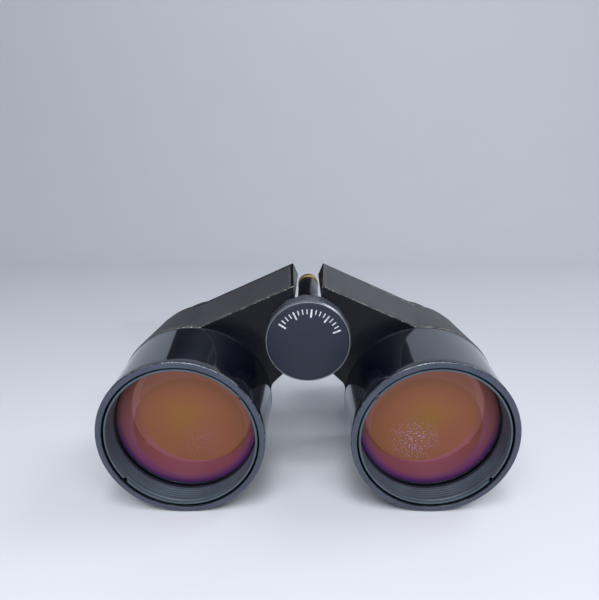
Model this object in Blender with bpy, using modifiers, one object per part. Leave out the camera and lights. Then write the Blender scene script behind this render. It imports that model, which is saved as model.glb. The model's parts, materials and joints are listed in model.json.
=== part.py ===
"""Compact prism binoculars with a front focusing wheel and a central hinge.

The optics are laid out in a level frame: X across, Y from the objective rims (Y = 0) back to
the eyecups, Z up, with the two objective axes in the plane Z = 0.  The whole assembly then hangs
on one empty that pitches it until the rims and the eyecups both rest on the ground, Z = 0.
Left and right are the user's: the user looks along -Y, so the right half is on -X.
"""

from math import atan2, cos, hypot, pi, radians, sin, sqrt

import bmesh
import bpy
from mathutils import Matrix, Vector

MM = 0.001

# Overall layout
OBJECTIVE_X = 28.5 * MM         # objective axis, from the middle plane
EYEPIECE_X = 34.0 * MM          # eyepiece axis, from the middle plane (half the eye spacing)
EYEPIECE_Z = -13.0 * MM         # eyepiece axis, below the objective axes
EYE_OFFSET = 5.5 * MM           # the housing's width allows at least this step between the axes
HINGE_Z = 17.3 * MM             # hinge axis, above the objective axes
GAP = 0.3 * MM                  # running or seating clearance between neighbours
STEPS = 24                      # sides of a large turned piece
SMALL_STEPS = 16                # sides of a small turned piece

# Prism housing
HOUSING_FRONT = 21.5 * MM
HOUSING_REAR = 44.5 * MM
WALL = 1.3 * MM
VALLEY_HALF = 4.4 * MM          # from the middle plane to the wall beside the hinge
CREST_Z = 29.2 * MM             # top inner corner of the sloping panel
PANEL_SLOPE = radians(24.4)
SHOULDER_FRONT = 19.3 * MM      # radius of the housing over the objective tube, front and rear
SHOULDER_REAR = 17.4 * MM
KEEL_FRONT = -20.9 * MM         # lowest line of the housing, front and rear
KEEL_REAR = -23.6 * MM
SHOULDER_END = radians(-15.0)   # angle where the outline leaves the objective circle
ARC_POINTS = 12
LOFT_PIECES = 3                 # straight stretches along a lofted wall

# Leatherette and the recess that holds it
SKIN = 0.5 * MM
LIP = 1.3 * MM                  # metal left bare round the leatherette

# Objective tube
RIM_RADIUS = 19.0 * MM
RIM_LENGTH = 2.4 * MM
RIM_CHAMFER = 0.4 * MM
TUBE_REAR_RADIUS = 19.1 * MM
TUBE_BORE = 17.5 * MM
HOOD_LENGTH = 7.5 * MM
HOOD_WALL = 0.6 * MM
HOOD_SET_BACK = 0.5 * MM
SPANNER_SLOT = 1.6 * MM
SPIGOT_LENGTH = 3.3 * MM
SPIGOT_WALL = 1.4 * MM

# Objective cell and lens
FOCUS_TRAVEL = 1.2 * MM         # each way from rest
CELL_WALL = 0.5 * MM
CELL_HEAD = 4.0 * MM
CELL_LEDGE = 1.2 * MM
LENS_EDGE = 1.8 * MM
LENS_BULGE = 1.3 * MM
LENS_RINGS = 2

# Prisms
PRISM = 10.6 * MM               # leg of a small prism, and the depth of all three
PRISM_CLIP = 1.3 * MM           # ground off the sharp corners
PLATE = 1.4 * MM
APERTURE = 5.2 * MM

# Hinge and focusing screw
LUG_RADIUS = 4.0 * MM
LUG_BORE = 2.7 * MM
LUG_LENGTH = 4.0 * MM
LUG_WEB = radians(40.0)         # half angle where the web to the wall leaves a lug's circle
SPINDLE_RADIUS = 1.2 * MM
BARREL_RADIUS = 3.4 * MM
BARREL_REAR = 66.0 * MM
CAP_RADIUS = 3.7 * MM
CAP_LENGTH = 2.7 * MM
CARRIAGE_LENGTH = 3.4 * MM
GROOVE_RADIUS = 2.4 * MM
FLANGE = 0.6 * MM

# Focus wheel
WHEEL_RADIUS = 10.7 * MM
WHEEL_FLATS = 14
WHEEL_LENGTH = 5.3 * MM
WHEEL_CHAMFER = 0.4 * MM
WHEEL_TURN = radians(7.0)
FACE_RADIUS = 9.6 * MM
FACE_DEPTH = 0.9 * MM

# Focus arms
ARM_WIDTH = 3.0 * MM
ARM_THICK = 1.6 * MM

# Rear cover and its screws
COVER = 1.5 * MM
SCREW_HEAD = 1.8 * MM
SCREW_HEAD_HEIGHT = 0.9 * MM
SCREW_SHANK = 0.8 * MM
BOSS_RADIUS = 2.1 * MM
BOSS_LENGTH = 4.4 * MM
BOSS_INSET = 3.2 * MM           # from the two walls of the crest corner

# Eyepieces
TUBE_RADIUS = 11.2 * MM
TUBE_REAR = 68.0 * MM
SLEEVE_RADIUS = 10.6 * MM
SLEEVE_REAR = 84.0 * MM
EYE_BORE = 9.4 * MM
EYE_SPIGOT = 7.6 * MM
EYE_THROAT = 6.4 * MM
FLANGE_RADIUS = 10.9 * MM
FLANGE_LENGTH = 2.0 * MM
RING_RADIUS = 13.6 * MM
RING_LENGTH = 7.6 * MM
OCULAR_WALL = 1.1 * MM
DIOPTRE_TRAVEL = 0.8 * MM       # each way from rest
OCULAR_FRONT = 52.0 * MM
OCULAR_REAR = 83.0 * MM
EYE_LENS_EDGE = 2.0 * MM
EYE_LENS_BULGE = 1.2 * MM
EYECUP_RADIUS = 17.0 * MM
EYECUP_REAR = 94.0 * MM
EYECUP_MOUTH = 14.4 * MM
EYECUP_LIP = 6.0 * MM           # last stretch of the eyecup, which flares less
EYECUP_FLARE = 0.9 * MM
EYECUP_CHAMFER = 0.6 * MM

# Strap lugs
LOOP_RADIUS = 2.6 * MM
LOOP_WIRE = 0.8 * MM
LOOP_Y = 39.0 * MM
LOOP_ANGLE = radians(-13.0)
LOOP_POINTS = 9

SIDES = {"right": -1, "left": 1}

# Worked out from the driving dimensions
EYECUP_END = EYECUP_REAR - EYECUP_CHAMFER
REST_RISE = RIM_RADIUS - (EYECUP_RADIUS - EYEPIECE_Z)
PITCH = -atan2(REST_RISE, EYECUP_END - RIM_CHAMFER)
HINGE = Vector((0.0, 0.0, HINGE_Z))
INNER_AXIS = min(OBJECTIVE_X, EYEPIECE_X - EYE_OFFSET)
OUTER_AXIS = max(EYEPIECE_X, OBJECTIVE_X + EYE_OFFSET)
HOOD_RADIUS = TUBE_BORE - GAP
CELL_FRONT = HOOD_SET_BACK + HOOD_LENGTH + GAP + FOCUS_TRAVEL
CELL_RADIUS = TUBE_BORE - GAP
CELL_REAR = HOUSING_FRONT + SPIGOT_LENGTH - 1.1 * MM
SPIGOT_RADIUS = TUBE_REAR_RADIUS - 2.7 * MM
SPIGOT_BORE = SPIGOT_RADIUS - SPIGOT_WALL
CELL_NECK = SPIGOT_BORE - GAP
PLATE_FRONT = CELL_REAR + FOCUS_TRAVEL + 3 * GAP
PRISM_FRONT = PLATE_FRONT + PLATE + GAP
COVER_FRONT = HOUSING_REAR + GAP
LUG_FRONT = HOUSING_FRONT + GAP
REAR_LUG_FRONT = COVER_FRONT - 2 * LUG_LENGTH - GAP
CARRIAGE_MIDDLE = (LUG_FRONT + 2 * LUG_LENGTH + GAP + REAR_LUG_FRONT) / 2
CARRIAGE_FRONT = CARRIAGE_MIDDLE - CARRIAGE_LENGTH / 2
COVER_REAR = COVER_FRONT + COVER
RING_FRONT = TUBE_REAR + GAP
EYECUP_FRONT = RING_FRONT + RING_LENGTH + GAP
PIN_RADIUS = LUG_BORE - GAP
LENS_RADIUS = CELL_RADIUS - CELL_WALL - GAP
OCULAR_RADIUS = EYE_BORE - GAP
EYE_LENS_RADIUS = OCULAR_RADIUS - OCULAR_WALL - GAP


# ---------------------------------------------------------------------------------------------
# Scene, materials and placing
# ---------------------------------------------------------------------------------------------

def clear_scene():
    """Remove every object that the file starts with."""
    for obj in list(bpy.data.objects):
        bpy.data.objects.remove(obj, do_unlink=True)


def new_collection(name):
    """Make a collection in the scene."""
    collection = bpy.data.collections.new(name)
    bpy.context.scene.collection.children.link(collection)
    return collection


def material(name, color, roughness, metallic=0.0):
    """Make a Principled material."""
    made = bpy.data.materials.new(name)
    made.use_nodes = True
    shader = made.node_tree.nodes["Principled BSDF"]
    shader.inputs["Base Color"].default_value = (*color, 1.0)
    shader.inputs["Roughness"].default_value = roughness
    shader.inputs["Metallic"].default_value = metallic
    return made


def empty(name, location, parent=None):
    """Make an empty at a place given in the level frame."""
    made = bpy.data.objects.new(name, None)
    made.empty_display_size = 10 * MM
    made["level"] = tuple(location)
    made.location = Vector(location) - Vector(parent["level"]) if parent else Vector(location)
    made.parent = parent
    PARTS.objects.link(made)
    return made


def place(obj, parent, location, surface):
    """Hang an object on an empty, at a level-frame location, with its material."""
    obj.parent = parent
    obj.location = Vector(location) - Vector(parent["level"])
    obj.data.materials.append(surface)
    PARTS.objects.link(obj)
    return obj


def as_tool(obj, parent, location=(0.0, 0.0, 0.0)):
    """Keep an object as a Boolean's second shape, out of the render."""
    obj.parent = parent
    obj.location = Vector(location) - Vector(parent["level"])
    obj.hide_render = True
    obj.display_type = "WIRE"
    CUTTERS.objects.link(obj)
    return obj


def combine(obj, tool, operation="DIFFERENCE"):
    """Add a Boolean modifier."""
    modifier = obj.modifiers.new(tool.name, "BOOLEAN")
    modifier.operation = operation
    modifier.use_hole_tolerant = True
    modifier.object = tool


def shade_round(mesh):
    """Shade a mesh smooth, with its real edges sharp."""
    mesh.shade_smooth()
    mesh.set_sharp_from_angle(angle=radians(35.0))


# ---------------------------------------------------------------------------------------------
# Shapes
# ---------------------------------------------------------------------------------------------

def turned(name, profile, steps=STEPS, closed=True):
    """Turn a (radius, y) profile about the Y axis; the profile's first run is its outer side."""
    mesh = bpy.data.meshes.new(name)
    points = [(radius, 0.0, y) for radius, y in profile]
    edges = [(i, i + 1) for i in range(len(points) - 1)]
    if closed:
        edges.append((len(points) - 1, 0))
    mesh.from_pydata(points, edges, [])
    obj = bpy.data.objects.new(name, mesh)
    screw = obj.modifiers.new("turn", "SCREW")
    screw.axis = "Z"
    screw.steps = steps
    screw.render_steps = steps
    screw.use_merge_vertices = True
    screw.merge_threshold = 0.01 * MM
    obj.rotation_euler.x = -pi / 2
    return obj


def tube(name, outer, bore, front, rear, steps=STEPS):
    """A plain turned tube."""
    return turned(name, [(outer, rear), (outer, front), (bore, front), (bore, rear)], steps)


def rod(name, radius, front, rear, steps=STEPS):
    """A plain turned rod."""
    return turned(name, [(0, rear), (radius, rear), (radius, front), (0, front)], steps, False)


def lens(name, radius, front, edge, bulge):
    """A turned lens with both faces convex, its edge starting at front."""
    sphere = (radius ** 2 + bulge ** 2) / (2 * bulge)
    radii = [radius * i / LENS_RINGS for i in range(LENS_RINGS + 1)]
    rise = [sqrt(sphere ** 2 - r ** 2) - (sphere - bulge) for r in radii]
    back = [(r, front + edge + h) for r, h in zip(radii, rise)]
    face = [(r, front - h) for r, h in zip(reversed(radii), reversed(rise))]
    return turned(name, back + face, STEPS, False)


def loft(name, outline_at, y_front, y_rear, pieces=1):
    """Join the (x, z) outlines that outline_at(y) gives, front to rear, into a closed solid."""
    shape = bmesh.new()
    rings = []
    for step in range(pieces + 1):
        y = y_front + (y_rear - y_front) * step / pieces
        rings.append([shape.verts.new((x, y, z)) for x, z in outline_at(y)])
    count = len(rings[0])
    for near, far in zip(rings, rings[1:]):
        for i in range(count):
            j = (i + 1) % count
            shape.faces.new((near[i], near[j], far[j], far[i]))
    shape.faces.new(rings[0])
    shape.faces.new(rings[-1])
    bmesh.ops.recalc_face_normals(shape, faces=shape.faces)
    mesh = bpy.data.meshes.new(name)
    shape.to_mesh(mesh)
    shape.free()
    return bpy.data.objects.new(name, mesh)


def prism(name, outline, axes, depth):
    """Extrude an outline: axes gives its two directions and the direction of its depth."""
    across, up, along = (Vector(axis) for axis in axes)
    shape = bmesh.new()
    base = [shape.verts.new(across * u + up * v - along * depth / 2) for u, v in outline]
    face = shape.faces.new(base)
    grown = bmesh.ops.extrude_face_region(shape, geom=[face])["geom"]
    moved = [item for item in grown if isinstance(item, bmesh.types.BMVert)]
    bmesh.ops.translate(shape, verts=moved, vec=along * depth)
    bmesh.ops.recalc_face_normals(shape, faces=shape.faces)
    mesh = bpy.data.meshes.new(name)
    shape.to_mesh(mesh)
    shape.free()
    return bpy.data.objects.new(name, mesh)


def block(name, size, turn=0.0):
    """A box about its own middle, turned about Y."""
    shape = bmesh.new()
    bmesh.ops.create_cube(shape, size=1.0, matrix=Matrix.Diagonal((*size, 1.0)))
    mesh = bpy.data.meshes.new(name)
    shape.to_mesh(mesh)
    shape.free()
    mesh.transform(Matrix.Rotation(turn, 4, "Y"))
    return bpy.data.objects.new(name, mesh)


def wire(name, points, radius):
    """A round wire through the points, with filled ends, as a mesh."""
    curve = bpy.data.curves.new(name, "CURVE")
    curve.dimensions = "3D"
    curve.bevel_depth = radius
    curve.bevel_resolution = 2
    curve.use_fill_caps = True
    spline = curve.splines.new("POLY")
    spline.points.add(len(points) - 1)
    for slot, point in zip(spline.points, points):
        slot.co = (*point, 1.0)
    drawn = bpy.data.objects.new(name + "_line", curve)
    bpy.context.scene.collection.objects.link(drawn)
    graph = bpy.context.evaluated_depsgraph_get()
    mesh = bpy.data.meshes.new_from_object(drawn.evaluated_get(graph))
    bpy.data.objects.remove(drawn, do_unlink=True)
    shape = bmesh.new()
    shape.from_mesh(mesh)
    bmesh.ops.remove_doubles(shape, verts=shape.verts, dist=0.01 * MM)
    bmesh.ops.recalc_face_normals(shape, faces=shape.faces)
    shape.to_mesh(mesh)
    shape.free()
    return bpy.data.objects.new(name, mesh)


# ---------------------------------------------------------------------------------------------
# The housing's outline
# ---------------------------------------------------------------------------------------------

def crest_corner(shoulder):
    """Where the sloping panel meets the shoulder's circle: a line cut with a circle."""
    fall = Vector((cos(PANEL_SLOPE), -sin(PANEL_SLOPE)))
    start = Vector((VALLEY_HALF - OBJECTIVE_X, CREST_Z))
    along = start.dot(fall)
    reach = -along - sqrt(along ** 2 - start.length_squared + shoulder ** 2)
    return start + fall * reach


def half_outline(shoulder, keel):
    """One section of the housing, as (x, z) points from the crest round the outside."""
    corner = crest_corner(shoulder)
    first = atan2(corner.y, corner.x)
    points = [(VALLEY_HALF, CREST_Z)]
    for i in range(ARC_POINTS + 1):
        angle = first + (SHOULDER_END - first) * i / ARC_POINTS
        points.append((OBJECTIVE_X + shoulder * cos(angle), shoulder * sin(angle)))
    points.append((OUTER_AXIS + 10.2 * MM, keel + 6.2 * MM))
    points.append((OUTER_AXIS + 5.8 * MM, keel + 1.8 * MM))
    points.append((OBJECTIVE_X + 4.5 * MM, keel))
    points.append((INNER_AXIS - 6.0 * MM, keel))
    points.append((INNER_AXIS - 13.6 * MM, keel + 4.0 * MM))
    points.append((INNER_AXIS - 16.3 * MM, keel + 8.6 * MM))
    points.append((INNER_AXIS - 18.2 * MM, keel + 19.5 * MM))
    points.append((INNER_AXIS - 19.4 * MM, HINGE_Z - 13.4 * MM))
    points.append((VALLEY_HALF + 1.4 * MM, HINGE_Z - 10.2 * MM))
    points.append((VALLEY_HALF, HINGE_Z - 8.0 * MM))
    return points


FRONT_SECTION = half_outline(SHOULDER_FRONT, KEEL_FRONT)
REAR_SECTION = half_outline(SHOULDER_REAR, KEEL_REAR)


def section(y):
    """The housing's outline at a place along its length."""
    share = (y - HOUSING_FRONT) / (HOUSING_REAR - HOUSING_FRONT)
    pairs = zip(FRONT_SECTION, REAR_SECTION)
    return [(a[0] + (b[0] - a[0]) * share, a[1] + (b[1] - a[1]) * share) for a, b in pairs]


def offset(points, distance, closed=True):
    """Move an outline inward (to the right of its direction) by a distance, with mitres."""
    count = len(points)
    moved = []
    for i, point in enumerate(points):
        here = Vector(point)
        before = Vector(points[i - 1]) if closed or i else None
        after = Vector(points[(i + 1) % count]) if closed or i < count - 1 else None
        into = (here - before).normalized() if before else (after - here).normalized()
        out = (after - here).normalized() if after else into
        normal_in = Vector((into.y, -into.x))
        normal_out = Vector((out.y, -out.x))
        middle = normal_in + normal_out
        moved.append(tuple(here + middle * (distance * 2 / middle.length_squared)))
    return moved


def mirrored(points, side):
    """Put an outline on one side of the middle plane."""
    return [(x * side, z) for x, z in points]


def shell_loft(name, side, inset, y_front, y_rear):
    """A solid that follows the housing at a constant inset from its outline."""
    return loft(name, lambda y: mirrored(offset(section(y), inset), side), y_front, y_rear,
                LOFT_PIECES)


def skin_loft(name, side, outer, inner, y_front, y_rear, margin):
    """A band along the panel and over the shoulder, between two depths."""
    def band(y):
        path = section(y)[:ARC_POINTS + 1]
        crest, corner = Vector(path[0]), Vector(path[1])
        path[0] = tuple(crest + (corner - crest).normalized() * margin)
        closed = offset(path, outer, False) + offset(path, inner, False)[::-1]
        return mirrored(closed, side)

    return loft(name, band, y_front, y_rear, LOFT_PIECES)


# ---------------------------------------------------------------------------------------------
# Pieces of one half
# ---------------------------------------------------------------------------------------------

def screw_places(side):
    """The rear cover's three screws: crest corner, outer shoulder and keel."""
    reach = SHOULDER_REAR - WALL - 1.3 * MM
    angle = radians(9.0)
    return {
        "crest": (side * (VALLEY_HALF + BOSS_INSET), CREST_Z - 1.55 * BOSS_INSET),
        "outer": (side * (OBJECTIVE_X + reach * cos(angle)), reach * sin(angle)),
        "keel": (side * (INNER_AXIS - 9.8 * MM), KEEL_REAR + 5.4 * MM),
    }


def lug_fronts(side_name):
    """Where a half's two hinge lugs start: the right half's lie outside the left half's."""
    if side_name == "right":
        return LUG_FRONT, REAR_LUG_FRONT + LUG_LENGTH + GAP
    return LUG_FRONT + LUG_LENGTH + GAP, REAR_LUG_FRONT


def lug_outline(side):
    """A lug's section about the hinge: most of a circle, and a web into the valley wall."""
    count = STEPS - 4
    points = []
    for i in range(count + 1):
        angle = LUG_WEB + (2 * pi - 2 * LUG_WEB) * i / count
        points.append((LUG_RADIUS * cos(angle), LUG_RADIUS * sin(angle)))
    root = VALLEY_HALF + 0.7 * WALL
    points.append((root, points[-1][1]))
    points.append((root, points[0][1]))
    return mirrored(points, side)


def add_lugs(housing, side_name, side, parent):
    """Join the hinge lugs to the valley wall and bore them."""
    for number, front in enumerate(lug_fronts(side_name)):
        outline = lug_outline(side)
        lug = loft(f"{side_name}_lug_{number}", lambda y: outline, front, front + LUG_LENGTH)
        combine(housing, as_tool(lug, parent, HINGE), "UNION")
    bore = rod(side_name + "_hinge_bore", LUG_BORE, HOUSING_FRONT - MM, COVER_REAR + MM)
    combine(housing, as_tool(bore, parent, HINGE))


def add_bosses(housing, side_name, side, parent):
    """Screw bosses inside the housing, blind from the rear."""
    for tag, (x, z) in screw_places(side).items():
        start = HOUSING_REAR - BOSS_LENGTH
        end = HOUSING_REAR - GAP
        boss = rod(f"{side_name}_boss_{tag}", BOSS_RADIUS, start, end, SMALL_STEPS)
        combine(housing, as_tool(boss, parent, (x, 0.0, z)), "UNION")
    for tag, (x, z) in screw_places(side).items():
        hole = rod(f"{side_name}_tap_{tag}", SCREW_SHANK + GAP, start + MM, COVER_REAR + MM,
                   SMALL_STEPS)
        combine(housing, as_tool(hole, parent, (x, 0.0, z)))


def arm_frame(side):
    """Unit vectors from an objective axis to the hinge and square to that, in the XZ plane."""
    along = Vector((-side * OBJECTIVE_X, 0.0, HINGE_Z)).normalized()
    return along, Vector((along.z, 0.0, -along.x))


def make_housing(side_name, side, parent):
    """The cast body: a lofted shell open at the back, with lugs, bosses and bores."""
    housing = shell_loft("prism_housing_" + side_name, side, 0.0, HOUSING_FRONT, HOUSING_REAR)
    pocket = shell_loft(side_name + "_pocket", side, WALL, HOUSING_FRONT + WALL,
                        HOUSING_REAR + MM)
    combine(housing, as_tool(pocket, parent))
    hole = rod(side_name + "_front_hole", SPIGOT_RADIUS + GAP, HOUSING_FRONT - MM,
               HOUSING_FRONT + WALL + MM)
    combine(housing, as_tool(hole, parent, (side * OBJECTIVE_X, 0.0, 0.0)))
    recess = skin_loft(side_name + "_recess", side, -MM, SKIN + GAP, HOUSING_FRONT + LIP,
                       HOUSING_REAR - LIP, LIP)
    combine(housing, as_tool(recess, parent))
    add_bosses(housing, side_name, side, parent)
    add_lugs(housing, side_name, side, parent)
    slot_length = ARM_THICK + 2 * FOCUS_TRAVEL + 2 * GAP
    turn = side * atan2(HINGE_Z, OBJECTIVE_X)
    slot = block(side_name + "_arm_slot", (6 * WALL, slot_length, ARM_WIDTH + 3 * GAP), turn)
    depth = VALLEY_HALF + WALL / 2
    spot = (side * depth, CARRIAGE_MIDDLE, HINGE_Z * (1 - depth / OBJECTIVE_X))
    combine(housing, as_tool(slot, parent, spot))
    place(housing, parent, (0.0, 0.0, 0.0), PAINT)


def make_objective_tube(side_name, side, parent):
    """The flared tube in front of the housing, with the hood ring screwed into its mouth."""
    axis = (side * OBJECTIVE_X, 0.0, 0.0)
    shoulder = HOUSING_FRONT - GAP
    spigot_end = HOUSING_FRONT + SPIGOT_LENGTH
    bore_end = CELL_FRONT + CELL_HEAD + FOCUS_TRAVEL + GAP
    profile = [
        (SPIGOT_RADIUS, spigot_end), (SPIGOT_RADIUS, shoulder), (TUBE_REAR_RADIUS, shoulder),
        (RIM_RADIUS - 0.1 * MM, RIM_LENGTH + 0.1 * MM), (RIM_RADIUS, RIM_LENGTH),
        (RIM_RADIUS, RIM_CHAMFER), (RIM_RADIUS - RIM_CHAMFER, 0.0), (TUBE_BORE, 0.0),
        (TUBE_BORE, bore_end), (SPIGOT_BORE, bore_end), (SPIGOT_BORE, spigot_end),
    ]
    place(turned("objective_tube_" + side_name, profile), parent, axis, PAINT)
    hood = tube("hood_ring_" + side_name, HOOD_RADIUS, HOOD_RADIUS - HOOD_WALL,
                HOOD_SET_BACK, HOOD_SET_BACK + HOOD_LENGTH)
    slot = block(side_name + "_spanner_slot", (3 * RIM_RADIUS, 2 * MM, SPANNER_SLOT),
                 radians(30.0))
    combine(hood, as_tool(slot, parent, (axis[0], HOOD_SET_BACK, 0.0)))
    place(hood, parent, axis, ANODISED)


def make_objective_cell(side_name, side, carrier):
    """The sliding cell with its lens and the arm that the focus carriage drives."""
    axis = (side * OBJECTIVE_X, 0.0, 0.0)
    head_rear = CELL_FRONT + CELL_HEAD
    seat = head_rear - CELL_LEDGE
    bore = CELL_RADIUS - CELL_WALL
    throat = CELL_NECK - 1.2 * MM
    profile = [
        (CELL_NECK, CELL_REAR), (CELL_NECK, head_rear), (CELL_RADIUS, head_rear),
        (CELL_RADIUS, CELL_FRONT), (bore, CELL_FRONT), (bore, seat), (throat, seat),
        (throat, CELL_REAR),
    ]
    place(turned("objective_cell_" + side_name, profile), carrier, axis, ANODISED)
    edge_front = seat - LENS_EDGE - LENS_BULGE
    glass = lens("objective_lens_" + side_name, LENS_RADIUS, edge_front, LENS_EDGE, LENS_BULGE)
    place(glass, carrier, axis, COATED_GLASS)
    make_focus_arm(side_name, side, carrier, throat)


def make_focus_arm(side_name, side, carrier, throat):
    """An L-shaped arm: a leg back from the cell, then a tongue into the carriage's groove."""
    along, across = arm_frame(side)
    back = Vector((0.0, 1.0, 0.0))
    leg_front = CELL_REAR + GAP
    tongue_rear = CARRIAGE_MIDDLE + ARM_THICK / 2
    tongue_front = CARRIAGE_MIDDLE - ARM_THICK / 2
    near = throat - ARM_THICK / 2
    leg = near + ARM_THICK
    tip = hypot(OBJECTIVE_X, HINGE_Z) - GROOVE_RADIUS - 2 * GAP
    outline = [
        (near, leg_front), (leg, leg_front), (leg, tongue_front), (tip, tongue_front),
        (tip, tongue_rear), (near, tongue_rear),
    ]
    arm = prism("focus_arm_" + side_name, outline, (along, back, across), ARM_WIDTH)
    place(arm, carrier, (side * OBJECTIVE_X, 0.0, 0.0), STEEL)


def make_prisms(side_name, side, parent):
    """Three right-angle prisms and their plate: in, across to the hinge side and back, and out."""
    entry = Vector((side * OBJECTIVE_X, 0.0, 0.0))
    leave = Vector((side * EYEPIECE_X, 0.0, EYEPIECE_Z))
    shift = (leave - entry).normalized()
    inward = Vector((-side * abs(shift.z), 0.0, -abs(shift.x)))
    back = Vector((0.0, 1.0, 0.0))
    half = PRISM / 2
    rear = PRISM_FRONT + PRISM
    first = [(-half, PRISM_FRONT), (half, PRISM_FRONT), (half, rear)]
    last = [(half, PRISM_FRONT), (half, rear), (-half, rear)]
    place(prism("entry_prism_" + side_name, first, (inward, back, shift), PRISM), parent,
          entry, GLASS)
    place(prism("exit_prism_" + side_name, last, (inward, back, shift), PRISM), parent,
          leave, GLASS)
    reach = ((leave - entry).length + PRISM) / 2
    base = half + GAP
    clip = PRISM_CLIP
    outline = [
        (base, clip - reach), (base, reach - clip), (base + clip, reach - clip),
        (base + reach - clip, clip), (base + reach - clip, -clip), (base + clip, clip - reach),
    ]
    big = prism("return_prism_" + side_name, outline, (inward, shift, back), PRISM)
    middle = (entry + leave) / 2 + back * (PRISM_FRONT + half)
    place(big, parent, middle, GLASS)
    plate = shell_loft("prism_plate_" + side_name, side, WALL + GAP, PLATE_FRONT,
                       PLATE_FRONT + PLATE)
    light = rod(side_name + "_aperture", APERTURE, PLATE_FRONT - MM, PLATE_FRONT + 3 * MM,
                SMALL_STEPS)
    combine(plate, as_tool(light, parent, entry))
    along, across = arm_frame(side)
    notch = prism(side_name + "_arm_notch", [(-2.0 * MM, -1.9 * MM), (2.0 * MM, -1.9 * MM),
                                             (2.0 * MM, 1.9 * MM), (-2.0 * MM, 1.9 * MM)],
                  (along, across, back), 4 * PLATE)
    centre = entry + along * (CELL_NECK - 0.7 * MM) + back * (PLATE_FRONT + PLATE / 2)
    combine(plate, as_tool(notch, parent, centre))
    place(plate, parent, (0.0, 0.0, 0.0), STEEL)


def make_cover(side_name, side, parent):
    """The rear cover with its three screws."""
    cover = shell_loft("rear_cover_" + side_name, side, 0.0, COVER_FRONT, COVER_REAR)
    hole = rod(side_name + "_eye_hole", EYE_SPIGOT + GAP, COVER_FRONT - MM, COVER_REAR + MM)
    combine(cover, as_tool(hole, parent, (side * EYEPIECE_X, 0.0, EYEPIECE_Z)))
    for tag, (x, z) in screw_places(side).items():
        bore = rod(f"{side_name}_pass_{tag}", SCREW_SHANK + GAP, COVER_FRONT - MM,
                   COVER_REAR + MM, SMALL_STEPS)
        combine(cover, as_tool(bore, parent, (x, 0.0, z)))
        head = COVER_REAR + GAP
        tip = HOUSING_REAR - BOSS_LENGTH + MM + GAP
        top = head + SCREW_HEAD_HEIGHT
        profile = [(0, top), (SCREW_HEAD, top), (SCREW_HEAD, head), (SCREW_SHANK, head),
                   (SCREW_SHANK, tip), (0, tip)]
        made = turned(f"cover_screw_{tag}_{side_name}", profile, SMALL_STEPS, False)
        place(made, parent, (x, 0.0, z), STEEL)
    place(cover, parent, (0.0, 0.0, 0.0), PAINT)


def make_leatherette(side_name, side, parent):
    """The grained cover let into the housing's top."""
    skin = skin_loft("leatherette_" + side_name, side, 0.0, SKIN, HOUSING_FRONT + LIP + GAP,
                     HOUSING_REAR - LIP - GAP, LIP + GAP)
    place(skin, parent, (0.0, 0.0, 0.0), LEATHERETTE)


def make_eyepiece(side_name, side, parent, carrier):
    """The fixed tube, the ocular cell with two lenses, the ring and the eyecup."""
    axis = (side * EYEPIECE_X, 0.0, EYEPIECE_Z)
    base = COVER_REAR + GAP
    neck = base + FLANGE_LENGTH
    spigot_front = HOUSING_REAR - MM
    bore_front = OCULAR_FRONT - DIOPTRE_TRAVEL - GAP
    profile = [
        (SLEEVE_RADIUS, SLEEVE_REAR), (SLEEVE_RADIUS, TUBE_REAR), (TUBE_RADIUS, TUBE_REAR),
        (TUBE_RADIUS, neck + 0.4 * MM), (FLANGE_RADIUS, neck), (FLANGE_RADIUS, base),
        (EYE_SPIGOT, base), (EYE_SPIGOT, spigot_front), (EYE_THROAT, spigot_front),
        (EYE_THROAT, bore_front), (EYE_BORE, bore_front), (EYE_BORE, SLEEVE_REAR),
    ]
    place(turned("eyepiece_tube_" + side_name, profile), parent, axis, PAINT)
    bore = OCULAR_RADIUS - OCULAR_WALL
    cell = tube("ocular_cell_" + side_name, OCULAR_RADIUS, bore, OCULAR_FRONT, OCULAR_REAR)
    place(cell, carrier, axis, ANODISED)
    inset = EYE_LENS_BULGE + MM
    field = OCULAR_FRONT + inset
    eye = OCULAR_REAR - inset - EYE_LENS_EDGE
    for name, front in (("field_lens_", field), ("eye_lens_", eye)):
        glass = lens(name + side_name, EYE_LENS_RADIUS, front, EYE_LENS_EDGE, EYE_LENS_BULGE)
        place(glass, carrier, axis, GLASS)
    name = "dioptre_ring" if side_name == "right" else "eyepiece_ring_left"
    ring = tube(name, RING_RADIUS, SLEEVE_RADIUS + GAP, RING_FRONT, RING_FRONT + RING_LENGTH)
    place(ring, parent, axis, ANODISED)
    profile = [
        (EYECUP_RADIUS - EYECUP_CHAMFER, EYECUP_REAR), (EYECUP_RADIUS, EYECUP_END),
        (EYECUP_RADIUS - EYECUP_FLARE, EYECUP_REAR - EYECUP_LIP),
        (RING_RADIUS, EYECUP_FRONT + 2 * MM),
        (RING_RADIUS, EYECUP_FRONT), (SLEEVE_RADIUS + GAP, EYECUP_FRONT),
        (SLEEVE_RADIUS + GAP, SLEEVE_REAR + GAP), (EYE_BORE, SLEEVE_REAR + GAP),
        (EYE_BORE, SLEEVE_REAR + 3 * GAP), (EYECUP_MOUTH, EYECUP_REAR),
    ]
    place(turned("eyecup_" + side_name, profile), parent, axis, RUBBER)


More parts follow.
